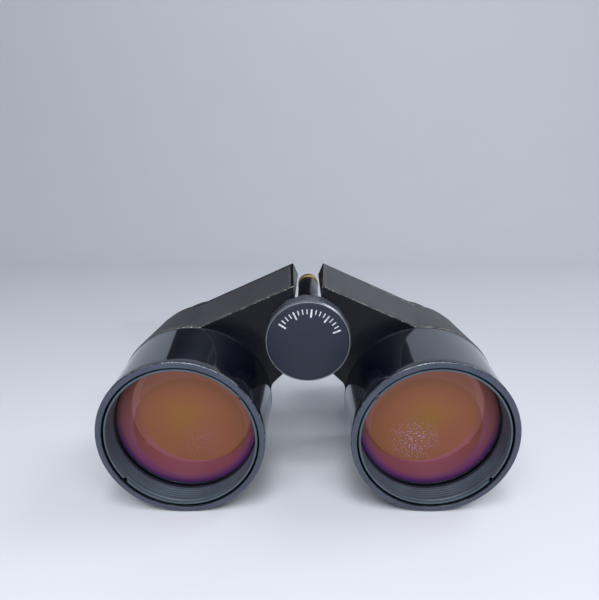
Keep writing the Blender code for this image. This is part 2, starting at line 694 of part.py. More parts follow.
def make_strap_lug(side_name, side, parent):
    """A small wire loop on the housing's outer wall."""
    share = (LOOP_Y - HOUSING_FRONT) / (HOUSING_REAR - HOUSING_FRONT)
    wall = SHOULDER_FRONT + (SHOULDER_REAR - SHOULDER_FRONT) * share
    outward = Vector((side * cos(LOOP_ANGLE), 0.0, sin(LOOP_ANGLE)))
    foot = Vector((side * OBJECTIVE_X, LOOP_Y, 0.0)) + outward * (wall + 2 * GAP)
    points = []
    for i in range(LOOP_POINTS):
        angle = pi * i / (LOOP_POINTS - 1)
        rise = outward * (LOOP_RADIUS * sin(angle))
        points.append(rise + Vector((0.0, LOOP_RADIUS * cos(angle), 0.0)))
    place(wire("strap_lug_" + side_name, points, LOOP_WIRE), parent, foot, STEEL)


# ---------------------------------------------------------------------------------------------
# Pieces on the hinge axis
# ---------------------------------------------------------------------------------------------

def make_hinge(parent):
    """The front bush, the rear pin, the barrel behind the housings and its end cap."""
    bush = tube("front_hinge_bush", PIN_RADIUS, SPINDLE_RADIUS + GAP, LUG_FRONT,
                LUG_FRONT + 2 * LUG_LENGTH + GAP, SMALL_STEPS)
    place(bush, parent, HINGE, STEEL)
    pin_end = BARREL_REAR + CAP_LENGTH - MM
    pin = rod("rear_hinge_pin", PIN_RADIUS, REAR_LUG_FRONT, pin_end, SMALL_STEPS)
    place(pin, parent, HINGE, STEEL)
    start = REAR_LUG_FRONT + 2 * LUG_LENGTH + 2 * GAP
    barrel = tube("hinge_barrel", BARREL_RADIUS, LUG_BORE, start, BARREL_REAR)
    place(barrel, parent, HINGE, PAINT)
    front = BARREL_REAR + GAP
    rear = BARREL_REAR + CAP_LENGTH + GAP
    floor = pin_end + GAP
    profile = [(0, rear), (CAP_RADIUS - 0.5 * MM, rear), (CAP_RADIUS, rear - 0.5 * MM),
               (CAP_RADIUS, front), (LUG_BORE, front), (LUG_BORE, floor), (0, floor)]
    place(turned("hinge_end_cap", profile, STEPS, False), parent, HINGE, BRASS)


def make_focus(wheel_parent, slide_parent):
    """The faceted wheel, its face disc, the spindle and the carriage on it."""
    rear = HOUSING_FRONT - GAP
    front = rear - WHEEL_LENGTH
    floor = front + FACE_DEPTH + GAP
    recess = (FACE_RADIUS + GAP) / cos(pi / WHEEL_FLATS)
    socket = rear - 0.6 * WHEEL_LENGTH
    shaft = (SPINDLE_RADIUS + GAP) / cos(pi / WHEEL_FLATS)
    profile = [
        (shaft, rear), (WHEEL_RADIUS, rear), (WHEEL_RADIUS, front + WHEEL_CHAMFER),
        (WHEEL_RADIUS - WHEEL_CHAMFER, front), (recess, front), (recess, floor), (0, floor),
    ]
    back = [(0, socket), (shaft, socket)]
    wheel = turned("focus_wheel", back + profile, WHEEL_FLATS, False)
    wheel.rotation_euler.y = WHEEL_TURN
    place(wheel, wheel_parent, HINGE, ANODISED)
    disc = rod("focus_wheel_face", FACE_RADIUS, front, front + FACE_DEPTH)
    place(disc, wheel_parent, HINGE, ANODISED)
    spindle_rear = REAR_LUG_FRONT - GAP
    spindle = rod("focus_spindle", SPINDLE_RADIUS, socket + GAP, spindle_rear, SMALL_STEPS)
    place(spindle, wheel_parent, HINGE, STEEL)
    start = CARRIAGE_FRONT
    end = CARRIAGE_FRONT + CARRIAGE_LENGTH
    outer = LUG_RADIUS - GAP / 3
    profile = [
        (outer, end), (outer, end - FLANGE), (GROOVE_RADIUS, end - FLANGE),
        (GROOVE_RADIUS, start + FLANGE), (outer, start + FLANGE), (outer, start),
        (SPINDLE_RADIUS + GAP, start), (SPINDLE_RADIUS + GAP, end),
    ]
    place(turned("focus_carriage", profile), slide_parent, HINGE, BRASS)


# ---------------------------------------------------------------------------------------------
# Assembly
# ---------------------------------------------------------------------------------------------

def standing_frame():
    """The empty that pitches the level frame and stands it on Z = 0, centred in Y."""
    stand = empty("stand", (0.0, 0.0, 0.0))
    stand.rotation_euler.x = PITCH
    front = -RIM_RADIUS * sin(PITCH)
    rear = EYECUP_REAR * cos(PITCH) + (EYECUP_RADIUS - EYECUP_CHAMFER - EYEPIECE_Z) * sin(PITCH)
    lowest = RIM_CHAMFER * sin(PITCH) - RIM_RADIUS * cos(PITCH)
    stand.location = (0.0, -(front + rear) / 2, -lowest)
    return stand


def build():
    """Make every piece under the empties that carry the joints."""
    stand = standing_frame()
    right = empty("right_half", (0.0, 0.0, 0.0), stand)
    left = empty("left_half_on_hinge", HINGE, stand)
    wheel = empty("focus_wheel_axis", HINGE, right)
    carriage = empty("focus_carriage_slide", HINGE, right)
    for side_name, side in SIDES.items():
        parent = right if side < 0 else left
        axis = (side * OBJECTIVE_X, 0.0, 0.0)
        eye_axis = (side * EYEPIECE_X, 0.0, EYEPIECE_Z)
        cell = empty("objective_slide_" + side_name, axis, parent)
        ocular = empty("ocular_slide_" + side_name, eye_axis, parent)
        make_housing(side_name, side, parent)
        make_objective_tube(side_name, side, parent)
        make_objective_cell(side_name, side, cell)
        make_prisms(side_name, side, parent)
        make_cover(side_name, side, parent)
        make_leatherette(side_name, side, parent)
        make_eyepiece(side_name, side, parent, ocular)
        make_strap_lug(side_name, side, parent)
    make_hinge(right)
    make_focus(wheel, carriage)
    for obj in PARTS.objects:
        if obj.type == "MESH":
            shade_round(obj.data)


clear_scene()
PARTS = new_collection("binoculars")
CUTTERS = new_collection("cutters")
PAINT = material("black_paint", (0.012, 0.012, 0.015), 0.28)
ANODISED = material("dark_anodised", (0.03, 0.035, 0.045), 0.42, 0.6)
STEEL = material("steel", (0.45, 0.45, 0.46), 0.35, 1.0)
BRASS = material("brass", (0.55, 0.38, 0.14), 0.38, 1.0)
GLASS = material("clear_glass", (0.75, 0.8, 0.82), 0.05)
COATED_GLASS = material("coated_glass", (0.32, 0.13, 0.06), 0.06)
LEATHERETTE = material("leatherette", (0.035, 0.037, 0.042), 0.7)
RUBBER = material("rubber", (0.03, 0.03, 0.032), 0.75)
build()
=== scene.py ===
"""Compact prism binoculars lying on a pale table, seen from the objective side.

Every new piece is a surface worked out in the level frame of the optics, in
millimetres: X across, Y from the objective rims back to the eyecups, Z up from the objective
axes.  to_world() then pitches it onto the table, as the frame's hinge axis says.
"""

import json
from math import atan2, cos, pi, radians, sin, tan

import bmesh
import bpy
import numpy as np
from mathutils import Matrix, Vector


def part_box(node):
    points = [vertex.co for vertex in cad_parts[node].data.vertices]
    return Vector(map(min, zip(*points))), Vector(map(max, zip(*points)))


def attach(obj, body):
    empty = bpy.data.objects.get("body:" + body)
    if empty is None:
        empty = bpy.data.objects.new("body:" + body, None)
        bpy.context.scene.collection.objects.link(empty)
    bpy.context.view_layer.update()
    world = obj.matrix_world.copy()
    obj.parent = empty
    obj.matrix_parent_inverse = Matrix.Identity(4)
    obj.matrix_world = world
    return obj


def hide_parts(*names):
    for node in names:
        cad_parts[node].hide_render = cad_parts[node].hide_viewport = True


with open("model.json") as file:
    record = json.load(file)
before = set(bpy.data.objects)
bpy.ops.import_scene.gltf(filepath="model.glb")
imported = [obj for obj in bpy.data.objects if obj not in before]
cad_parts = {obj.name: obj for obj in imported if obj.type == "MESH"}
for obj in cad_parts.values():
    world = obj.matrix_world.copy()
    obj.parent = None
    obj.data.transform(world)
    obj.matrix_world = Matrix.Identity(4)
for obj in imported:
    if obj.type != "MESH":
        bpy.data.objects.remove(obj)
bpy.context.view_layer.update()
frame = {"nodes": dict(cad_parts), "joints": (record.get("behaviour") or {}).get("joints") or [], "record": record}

MM = 0.001
JOINTS = {joint["name"]: joint for joint in frame["joints"]}
MOUNTS = {mount["name"]: mount for mount in frame["record"]["mounts"]}
AXIS = JOINTS["ipd_hinge"]["axis"]
PITCH = atan2(AXIS[2], AXIS[1])
GROUND_Y, GROUND_Z = MOUNTS["left_rim_face"]["pos_m"][1:]


def to_level(point):
    """A world point in metres as a level-frame point in millimetres."""
    x, y, z = point[0], point[1] - GROUND_Y, point[2] - GROUND_Z
    level = (x, y * cos(PITCH) + z * sin(PITCH), z * cos(PITCH) - y * sin(PITCH))
    return [value / MM for value in level]


# Sizes shared with the solids, in millimetres
OBJECTIVE_X = 28.5
EYEPIECE_X = 34.0
EYEPIECE_Z = -13.0
HINGE_Z = to_level(JOINTS["ipd_hinge"]["pos_m"])[2]
GAP = 0.3
RIM_RADIUS = 19.0
TUBE_REAR_RADIUS = 19.1
TUBE_BORE = 17.5
HOUSING_FRONT = 21.5
HOUSING_REAR = 44.5
VALLEY_HALF = 4.4
CREST_Z = 29.2
PANEL_SLOPE = radians(24.4)
SHOULDER = (19.3, 17.4)         # radius over the objective tube, front and rear
KEEL = (-20.9, -23.6)           # lowest line of the housing, front and rear
COVER_REAR = 46.3
TUBE_REAR = 68.0
SLEEVE_REAR = 84.0
EYECUP_REAR = 94.0
WHEEL_RADIUS = 10.4
WHEEL_FLATS = 14
WHEEL_FRONT = 15.9
WHEEL_REAR = 21.2
FACE_RADIUS = 9.75
LUG_RADIUS = 4.0
LUG_LENGTH = 4.0
PIN_BORE = 2.7                  # radius inside the hinge lugs and the barrel
LENS_RADIUS = 16.5
LENS_SAG = 1.3
LENS_FRONT = 8.2                # where the lens's front edge stands
HOOD_BORE = 16.62
HOOD_REAR = 6.9
RING_RADIUS = 13.6              # dioptre ring and the eyecup's seat
RING_FLUTES = 54
LOOP_Y = 39.0
LOOP_RADIUS = 2.6
WIRE_RADIUS = 0.8
SCREW_RADIUS = 1.6
SCREW_LENGTH = 5.1
BARREL_RADIUS = 3.0
BARREL_REAR = 66.0
SKIN_END = radians(2.0)         # how far down the shoulder the leatherette reaches
SIDES = {"right": -1, "left": 1}
BODY = {"right": "right_half", "left": "left_half"}


# ---------------------------------------------------------------------------------------------
# Geometry: grids of points to meshes
# ---------------------------------------------------------------------------------------------

def to_world(points):
    """Level-frame millimetres to world metres: pitched about X, then set on the table."""
    x, y, z = np.moveaxis(np.asarray(points, float) * MM, -1, 0)
    back = y * cos(PITCH) - z * sin(PITCH) + GROUND_Y
    up = y * sin(PITCH) + z * cos(PITCH) + GROUND_Z
    return np.stack([x, back, up], -1)


def grid_faces(count_u, count_v, wrap_u=False, wrap_v=False, start=0):
    """Quads between neighbouring rows and columns of a grid of points."""
    index = np.arange(count_u * count_v).reshape(count_u, count_v) + start
    if wrap_u:
        index = np.vstack([index, index[:1]])
    if wrap_v:
        index = np.hstack([index, index[:, :1]])
    corners = [index[:-1, :-1], index[1:, :-1], index[1:, 1:], index[:-1, 1:]]
    return np.stack(corners, -1).reshape(-1, 4)


def make_piece(name, points, faces, body, nodes=(), edge=None, uv=None, sharp=32.0):
    """A mesh piece on a body: doubles merged, faces turned outward, shaded smooth."""
    mesh = bpy.data.meshes.new(name)
    flat = np.asarray(points, float).reshape(-1, 3)
    mesh.from_pydata(to_world(flat), [], [tuple(face) for face in faces])
    marks = mesh.attributes.new("edge", "FLOAT", "POINT")
    values = np.zeros(len(flat)) if edge is None else np.asarray(edge, float).ravel()
    marks.data.foreach_set("value", values)
    if uv is not None:
        layer = mesh.attributes.new("sheet", "FLOAT_VECTOR", "POINT")
        layer.data.foreach_set("vector", np.asarray(uv, float).ravel())
    shape = bmesh.new()
    shape.from_mesh(mesh)
    bmesh.ops.remove_doubles(shape, verts=shape.verts, dist=0.002 * MM)
    bmesh.ops.recalc_face_normals(shape, faces=shape.faces)
    shape.to_mesh(mesh)
    shape.free()
    mesh.shade_smooth()
    mesh.set_sharp_from_angle(angle=radians(sharp))
    piece = bpy.data.objects.new(name, mesh)
    bpy.context.scene.collection.objects.link(piece)
    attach(piece, body)
    if nodes:
        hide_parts(*nodes)
    return piece


def rounded(points, radii, closed=True, steps=5):
    """A polyline with each corner replaced by an arc tangent to both its sides.

    Returns the points and, for each, how much of an edge it is: 1 on an outer arc, 0 elsewhere.
    """
    points = np.asarray(points, float)
    radii = np.broadcast_to(radii, len(points))
    path, marks = [], []
    for i, (corner, radius) in enumerate(zip(points, radii)):
        if radius <= 0 or (not closed and i in (0, len(points) - 1)):
            path.append(corner[None])
            marks.append([0.0])
            continue
        before, after = points[i - 1] - corner, points[(i + 1) % len(points)] - corner
        lengths = np.linalg.norm(before), np.linalg.norm(after)
        before, after = before / lengths[0], after / lengths[1]
        half = np.arccos(np.clip(before @ after, -1, 1)) / 2
        reach = min(radius / tan(half), 0.45 * lengths[0], 0.45 * lengths[1])
        middle = (before + after) / np.linalg.norm(before + after)
        centre = corner + middle * reach / cos(half)
        sweep = pi - 2 * half
        share = np.linspace(0, 1, steps + 1)[:, None]
        first, last = corner + before * reach - centre, corner + after * reach - centre
        arc = (np.sin((1 - share) * sweep) * first + np.sin(share * sweep) * last) / sin(sweep)
        path.append(centre + arc)
        marks.append(np.sin(np.linspace(0, pi, steps + 1)) * 0.5 + 0.5)
    return np.vstack(path), np.concatenate(marks)


def about_axis(profile, axis, steps=128, phase=0.0):
    """Turn (radius, y) points round an axis parallel to Y: x and z follow a full circle."""
    angle = np.linspace(0, 2 * pi, steps, endpoint=False)[:, None] + phase
    radius, along = profile[:, 0][None], profile[:, 1][None]
    across = axis[0] + radius * np.cos(angle)
    up = axis[1] + radius * np.sin(angle)
    return np.stack([across, np.broadcast_to(along, across.shape), up], -1)


def turned(name, corners, radii, axis, body, nodes=(), steps=128, closed=True):
    """A turned piece: a rounded (radius, y) profile carried round its axis."""
    profile, marks = rounded(corners, radii, closed)
    points = about_axis(profile, axis, steps)
    faces = grid_faces(*points.shape[:2], wrap_u=True, wrap_v=closed)
    edge = np.broadcast_to(marks, points.shape[:2])
    return make_piece(name, points, faces, body, nodes, edge)


def outline_offset(path, distance):
    """A closed outline moved inward by a distance along its mitred normals."""
    into = path - np.roll(path, 1, 0)
    out = np.roll(path, -1, 0) - path
    normals = []
    for run in (into, out):
        run = run / np.maximum(np.linalg.norm(run, axis=1), 1e-9)[:, None]
        normals.append(np.stack([run[:, 1], -run[:, 0]], 1))
    middle = normals[0] + normals[1]
    length = np.maximum((middle ** 2).sum(1), 0.6)[:, None]
    return path + middle * (2 * distance / length)


# ---------------------------------------------------------------------------------------------
# Prism housing
# ---------------------------------------------------------------------------------------------

def valley_lines(y):
    """Half the valley's width at y: at the crest, and where its polished facet ends below."""
    share = (y - HOUSING_FRONT) / (HOUSING_REAR - HOUSING_FRONT)
    crest = 3.3 + 0.8 * share
    return crest, crest - 0.1 - 1.2 * np.clip(share, 0, 1)


def crest_corner(shoulder):
    """Where the sloping panel, a line, meets the shoulder, a circle round the objective axis."""
    fall = np.array([cos(PANEL_SLOPE), -sin(PANEL_SLOPE)])
    start = np.array([VALLEY_HALF - OBJECTIVE_X, CREST_Z])
    along = start @ fall
    reach = -along - np.sqrt(along ** 2 - start @ start + shoulder ** 2)
    return start + fall * reach


def housing_corners(y):
    """The housing's cross-section at y: crest, panel, shoulder arc, keel and valley wall."""
    share = (y - HOUSING_FRONT) / (HOUSING_REAR - HOUSING_FRONT)
    shoulder = SHOULDER[0] + (SHOULDER[1] - SHOULDER[0]) * share
    keel = KEEL[0] + (KEEL[1] - KEEL[0]) * share
    crest, facet = valley_lines(y)
    corner = crest_corner(shoulder)
    angles = np.linspace(atan2(corner[1], corner[0]), radians(-15.0), 29)
    arc = np.stack([OBJECTIVE_X + shoulder * np.cos(angles), shoulder * np.sin(angles)], 1)
    lower = [
        (EYEPIECE_X + 10.2, keel + 6.2), (EYEPIECE_X + 5.8, keel + 1.8),
        (OBJECTIVE_X + 4.5, keel), (OBJECTIVE_X - 6.0, keel), (OBJECTIVE_X - 13.6, keel + 4.0),
        (OBJECTIVE_X - 16.3, keel + 8.6), (OBJECTIVE_X - 18.2, keel + 19.5),
        (OBJECTIVE_X - 19.4, HINGE_Z - 13.4), (VALLEY_HALF + 1.4, HINGE_Z - 10.2),
        (VALLEY_HALF, HINGE_Z - 8.0), (VALLEY_HALF, 23.4), (facet, CREST_Z - 3.0),
    ]
    top = CREST_Z + (VALLEY_HALF - crest) * tan(PANEL_SLOPE)
    radii = [0.2, 0.7] + [0.0] * 28 + [2.5, 2.5, 2.5, 3.0, 4.0, 4.0, 5.0, 2.5, 2.0, 1.5, 0.6, 0.15]
    return np.vstack([[(crest, top)], arc, lower]), radii


def housing_path(y, inset=0.0):
    """The rounded cross-section at y, moved inward by an inset."""
    corners, radii = housing_corners(y)
    path, _ = rounded(corners, radii, steps=4)
    return outline_offset(path, inset) if inset else path


def slab_stations(front, rear, edge, steps=4):
    """Places along Y, their insets over each end's quarter circle, and how worn they are."""
    turn = np.linspace(0, pi / 2, steps + 1)
    inset = edge * (1 - np.sin(turn))
    depth = edge * (1 - np.cos(turn))
    mark = np.sin(2 * turn)
    middle = np.linspace(front + edge, rear - edge, 14)[1:-1]
    ys = np.concatenate([front + depth, middle, rear - depth[::-1]])
    insets = np.concatenate([inset, 0 * middle, inset[::-1]])
    marks = np.concatenate([mark, 0 * middle, mark[::-1]])
    return ys, insets, marks


def slab(name, side, front, rear, edge, body, nodes=()):
    """A solid that follows the housing's cross-section from front to rear, edges rounded."""
    ys, insets, marks = slab_stations(front, rear, edge)
    rings = []
    for y, inset in zip(ys, insets):
        path = housing_path(y, inset)
        rings.append(np.stack([side * path[:, 0], np.full(len(path), y), path[:, 1]], 1))
    points = np.array(rings)
    faces = [tuple(face) for face in grid_faces(*points.shape[:2], wrap_v=True)]
    count = points.shape[1]
    faces.append(tuple(range(count)))
    faces.append(tuple(range(points.shape[0] * count - count, points.shape[0] * count)))
    edge_mark = np.repeat(marks[:, None], count, 1)
    return make_piece(name, points, faces, body, nodes, edge_mark, sharp=24.0)


def make_housing(side_name, side):
    """The cast body and its two hinge lugs; those of the two halves alternate."""
    body = BODY[side_name]
    node = "prism_housing_" + side_name
    shell = slab(node + "_shell", side, HOUSING_FRONT, HOUSING_REAR, 0.24, body,
                 [node])
    shell.data.materials.append(PAINT)
    front, rear = HOUSING_FRONT + GAP, COVER_REAR - 1.5
    shift = 0.0 if side < 0 else LUG_LENGTH + GAP
    lugs = ((front + shift, front + shift + LUG_LENGTH),
            (rear - shift - LUG_LENGTH, rear - shift))
    for number, (front, rear) in enumerate(lugs):
        corners = [(LUG_RADIUS, rear), (LUG_RADIUS, front), (PIN_BORE, front),
                   (PIN_BORE, rear)]
        lug = turned(f"hinge_lug_{side_name}_{number}", corners, 0.35, (0.0, HINGE_Z), body,
                     steps=72)
        lug.data.materials.append(PAINT)
        make_web(f"hinge_web_{side_name}_{number}", side, front, rear, body)


def make_web(name, side, front, rear, body):
    """The web from a lug to the valley wall: a short beam that widens into the wall."""
    steps, start = 9, 2.9
    share = np.linspace(0, 1, steps)
    reach = start + (VALLEY_HALF + 0.3 - start) * share
    half = 2.6 + 0.9 * share ** 3
    loop, _ = rounded([(-1, -1), (1, -1), (1, 1), (-1, 1)], 0.12, steps=3)
    middle, length = (front + rear) / 2, (rear - front) / 2 - 0.05
    y = middle + loop[None, :, 0] * length * np.ones_like(share)[:, None]
    z = HINGE_Z + loop[None, :, 1] * half[:, None]
    x = side * reach[:, None] * np.ones(len(loop))[None]
    points = np.stack([x, y, z], -1)
    faces = [tuple(face) for face in grid_faces(*points.shape[:2], wrap_v=True)]
    count = len(loop)
    faces += [tuple(range(count)), tuple(range((steps - 1) * count, steps * count))]
    web = make_piece(name, points, faces, body)
    web.data.materials.append(PAINT)


def panel_path(y, margin):
    """The top of the cross-section: from the crest down the panel and over the shoulder."""
    share = (y - HOUSING_FRONT) / (HOUSING_REAR - HOUSING_FRONT)
    shoulder = SHOULDER[0] + (SHOULDER[1] - SHOULDER[0]) * share
    corner = crest_corner(shoulder)
    knee = np.array([OBJECTIVE_X, 0.0]) + corner
    half, _ = valley_lines(y)
    crest = np.array([half, CREST_Z + (VALLEY_HALF - half) * tan(PANEL_SLOPE)])
    slope = (knee - crest) / np.linalg.norm(knee - crest)
    start = crest + slope * margin
    angles = np.linspace(atan2(corner[1], corner[0]), SKIN_END, 44)
    arc = np.stack([OBJECTIVE_X + shoulder * np.cos(angles), shoulder * np.sin(angles)], 1)
    corners = np.vstack([[start], arc])
    path, _ = rounded(corners, [0, 0.7] + [0.0] * 43, closed=False, steps=8)
    straight = start + (path[1] - start) * np.linspace(0, 1, 30)[:, None]
    return np.vstack([straight, path[2:]])


def path_normals(path):
    """Outward normals of an open path that runs clockwise, left of its direction."""
    run = np.gradient(path, axis=0)
    run /= np.linalg.norm(run, axis=1)[:, None]
    return np.stack([-run[:, 1], run[:, 0]], 1)


def sheet_on_panel(name, side, front, rear, margin, under, over, body, nodes, finish):
    """A thin sheet laid over the panel: its top is crowned down to its bottom at the edges."""
    ys = np.linspace(front, rear, 40)
    rows, sheet = [], []
    for y in ys:
        path = panel_path(y, margin)
        normal = path_normals(path)
        along = np.concatenate([[0], np.cumsum(np.linalg.norm(np.diff(path, axis=0), axis=1))])
        away = np.minimum(np.minimum(along, along[-1] - along), min(y - front, rear - y))
        lift = under + (over - under) * np.clip(away / 0.35, 0, 1) ** 0.5
        top = path + normal * lift[:, None]
        rows.append(np.stack([side * top[:, 0], np.full(len(top), y), top[:, 1]], 1))
        sheet.append(np.stack([along, np.full(len(top), y - front), away], 1))
    top, sheet = np.array(rows), np.array(sheet)
    base = []
    for y in ys:
        path = panel_path(y, margin)
        low = path + path_normals(path) * (under - 0.15)
        base.append(np.stack([side * low[:, 0], np.full(len(low), y), low[:, 1]], 1))
    base = np.array(base)
    nu, nv = top.shape[:2]
    faces = np.vstack([grid_faces(nu, nv), grid_faces(nu, nv, start=nu * nv)])
    ring = np.concatenate([
        np.arange(nv), np.arange(1, nu) * nv + nv - 1, (nu - 1) * nv + np.arange(nv - 2, -1, -1),
        np.arange(nu - 2, 0, -1) * nv])
    after = np.roll(ring, -1)
    wall = np.stack([ring, after, after + nu * nv, ring + nu * nv], 1)
    edge = np.clip(1 - sheet[..., 2] / 0.8, 0, 1)
    piece = make_piece(name, np.concatenate([top.reshape(-1, 3), base.reshape(-1, 3)]),
                       np.vstack([faces, wall]), body, nodes,
                       np.concatenate([edge.ravel(), edge.ravel()]),
                       np.concatenate([sheet.reshape(-1, 3), sheet.reshape(-1, 3)]), 40.0)
    piece.data.materials.append(finish)
    return piece


def make_cover(side_name, side):
    """The rear cover and its slotted screws."""
    body = BODY[side_name]
    node = "rear_cover_" + side_name
    cover = slab(node + "_plate", side, HOUSING_REAR + 0.1, COVER_REAR, 0.3, body,
                 [node])
    cover.data.materials.append(PAINT)
    for tag in ("crest", "outer", "keel"):
        make_screw(f"cover_screw_{tag}_{side_name}", body)


def make_screw(node, body):
    """A domed screw head with a slot: a turned dome, its crown pressed in along one line."""
    low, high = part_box(node)
    x, _, z = to_level([(a + b) / 2 for a, b in zip(low, high)])
    head_y = COVER_REAR + 0.15
    tip_y = head_y - SCREW_LENGTH
    crown_radius = np.linspace(0, SCREW_RADIUS, 14)
    radius = np.concatenate([crown_radius, [1.8, 1.8, 0.8, 0.8, 0.0]])
    dome = head_y + 0.9 - 0.25 * (crown_radius / SCREW_RADIUS) ** 2
    along = np.concatenate([dome, [head_y + 0.45, head_y, head_y, tip_y, tip_y]])
    points = about_axis(np.stack([radius, along], 1), (x, z), 48)
    slot = np.abs(points[..., 0] - x) < 0.28
    crown = points[..., 1] > head_y + 0.5
    points[..., 1] -= np.where(slot & crown, 0.35, 0.0)
    faces = grid_faces(*points.shape[:2], wrap_u=True)
    screw = make_piece(node + "_head", points, faces, body, [node], sharp=28.0)
    screw.data.materials.append(SCREW_STEEL)


# ---------------------------------------------------------------------------------------------
# Objective side
# ---------------------------------------------------------------------------------------------

def make_objective(side_name, side):
    """Tube, hood ring with its thread lines and notches, cell and coated lens, its colour painted reflection."""
    body = BODY[side_name]
    moving = side_name + "_objective"
    axis = (side * OBJECTIVE_X, 0.0)
    rear = HOUSING_FRONT - 0.02
    corners = [
        (16.2, rear + 3.0), (16.2, rear), (TUBE_REAR_RADIUS + 0.15, rear),
        (TUBE_REAR_RADIUS, rear - 0.6), (RIM_RADIUS - 0.12, 2.7), (RIM_RADIUS, 2.45),
        (RIM_RADIUS, 0.0), (TUBE_BORE + 0.12, 0.0), (TUBE_BORE + 0.02, 0.3),
        (TUBE_BORE, 14.8), (15.2, 14.8), (15.2, rear + 3.0),
    ]
    radii = [0, 0, 0.1, 0.5, 0.12, 0.12, 0.35, 0.06, 0.1, 0.2, 0.2, 0.2]
    node = "objective_tube_" + side_name
    tube = turned(node + "_barrel", corners, radii, axis, body, [node], 256)
    tube.data.materials.append(PAINT_TUBE)
    make_rim_face(side_name, axis, body)
    make_hood(side_name, side, axis, body)
    node = "objective_cell_" + side_name
    corners = [(14.7, 22.2), (14.7, 13.5), (17.2, 13.5), (17.2, 8.3), (16.75, 8.3),
               (16.62, 9.0), (16.7, 12.3), (13.5, 12.3), (13.5, 22.2)]
    cell = turned(node + "_ring", corners, [0.2, 0.2, 0.2, 0.15, 0.1, 0.1, 0.1, 0.1, 0.2],
                  axis, moving, [node], 192)
    cell.data.materials.append(BLACK_ANODISED)
    # A black ring at the rear of the hood's bore: painted shade, a dark band standing in for the shade in the
    # recess before the cell.
    corners = [(16.75, 6.88), (16.75, 6.0), (16.57, 6.0), (16.57, 6.88)]
    step = turned("hood_painted_shade_ring_" + side_name, corners, 0.05, axis, body, (), 192)
    step.data.materials.append(BLACK_ANODISED)
    node = "objective_lens_" + side_name
    radius = np.linspace(0, LENS_RADIUS, 40)
    sphere = LENS_RADIUS ** 2 / (2 * LENS_SAG)
    front = LENS_FRONT - (LENS_SAG - radius ** 2 / (2 * sphere))
    back = 11.0 + (0.6 - radius ** 2 / (4 * sphere))
    profile = np.vstack([np.stack([radius, front], 1), np.stack([radius, back], 1)[::-1]])
    points = about_axis(profile, axis, 160)
    faces = grid_faces(*points.shape[:2], wrap_u=True)
    glass = make_piece(node + "_glass", points, faces, moving, [node])
    # The glass's colour is painted reflection, with painted light where the hood shades it.
    glass.data.materials.append(lens_painted_reflections("lens_painted_reflections_" + side_name, side))


def make_rim_face(side_name, axis, body):
    """The satin ring turned on the rim's front face, 0.03 mm proud."""
    corners = [(18.82, 0.2), (18.75, -0.03), (17.72, -0.03), (17.68, 0.2)]
    ring = turned("rim_face_" + side_name, corners, 0.02, axis, body, (), 256)
    ring.data.materials.append(RIM_METAL)


def make_hood(side_name, side, axis, body):
    """The hood ring: smooth by its mouth, a few thread rings in its bore, two notches.

    The thread is a raised cosine of 0.8 mm pitch added to the bore's radius.
    """
    along = np.linspace(0.75, HOOD_REAR, 150)
    thread_front, thread_rear, pitch = 2.0, 5.2, 0.8
    wave = 0.09 * (0.5 - 0.5 * np.cos((along - thread_front) * 2 * pi / pitch)) ** 0.6
    wave = np.where((along > thread_front) & (along < thread_rear), wave, 0.0)
    wave += 0.12 * np.exp(-((along - 1.25) / 0.09) ** 2)
    bore = np.stack([HOOD_BORE + wave, along], 1)
    outer = np.array([(17.2, HOOD_REAR), (17.2, 0.5), (17.1, 0.38), (16.75, 0.38)])
    profile = np.vstack([bore, outer])
    points = about_axis(profile, axis, 360)
    angle = np.arctan2(points[..., 2] - axis[1], points[..., 0] - axis[0])
    notch = np.abs(np.sin(angle + side * radians(38.0))) < 0.03
    mouth = np.clip((1.7 - points[..., 1]) / 1.2, 0, 1)
    points[..., 1] += np.where(notch, mouth * 0.8, 0.0)
    faces = grid_faces(*points.shape[:2], wrap_u=True, wrap_v=True)
    edge = 0.6 * np.clip((0.8 - points[..., 1]) * 3.0, 0, 1)
    node = "hood_ring_" + side_name
    hood = make_piece(node + "_thread", points, faces, body, [node], edge)
    hood.data.materials.append(HOOD_METAL)


# ---------------------------------------------------------------------------------------------
# Eyepiece side
# ---------------------------------------------------------------------------------------------

def knurled(points, axis, teeth, depth, low, high):
    """Cut straight flutes into the outer wall: the radius dips with a rounded wave."""
    x, z = points[..., 0] - axis[0], points[..., 2] - axis[1]
    radius, angle = np.hypot(x, z), np.arctan2(z, x)
    outer = radius > radius.max() - 0.45
    along = points[..., 1]
    inside = np.clip((along - low) / 0.5, 0, 1) * np.clip((high - along) / 0.5, 0, 1)
    dip = depth * (0.5 - 0.5 * np.cos(teeth * angle)) ** 2 * inside * outer
    share = 1 - dip / radius
    points[..., 0] = axis[0] + x * share
    points[..., 2] = axis[1] + z * share
    return points


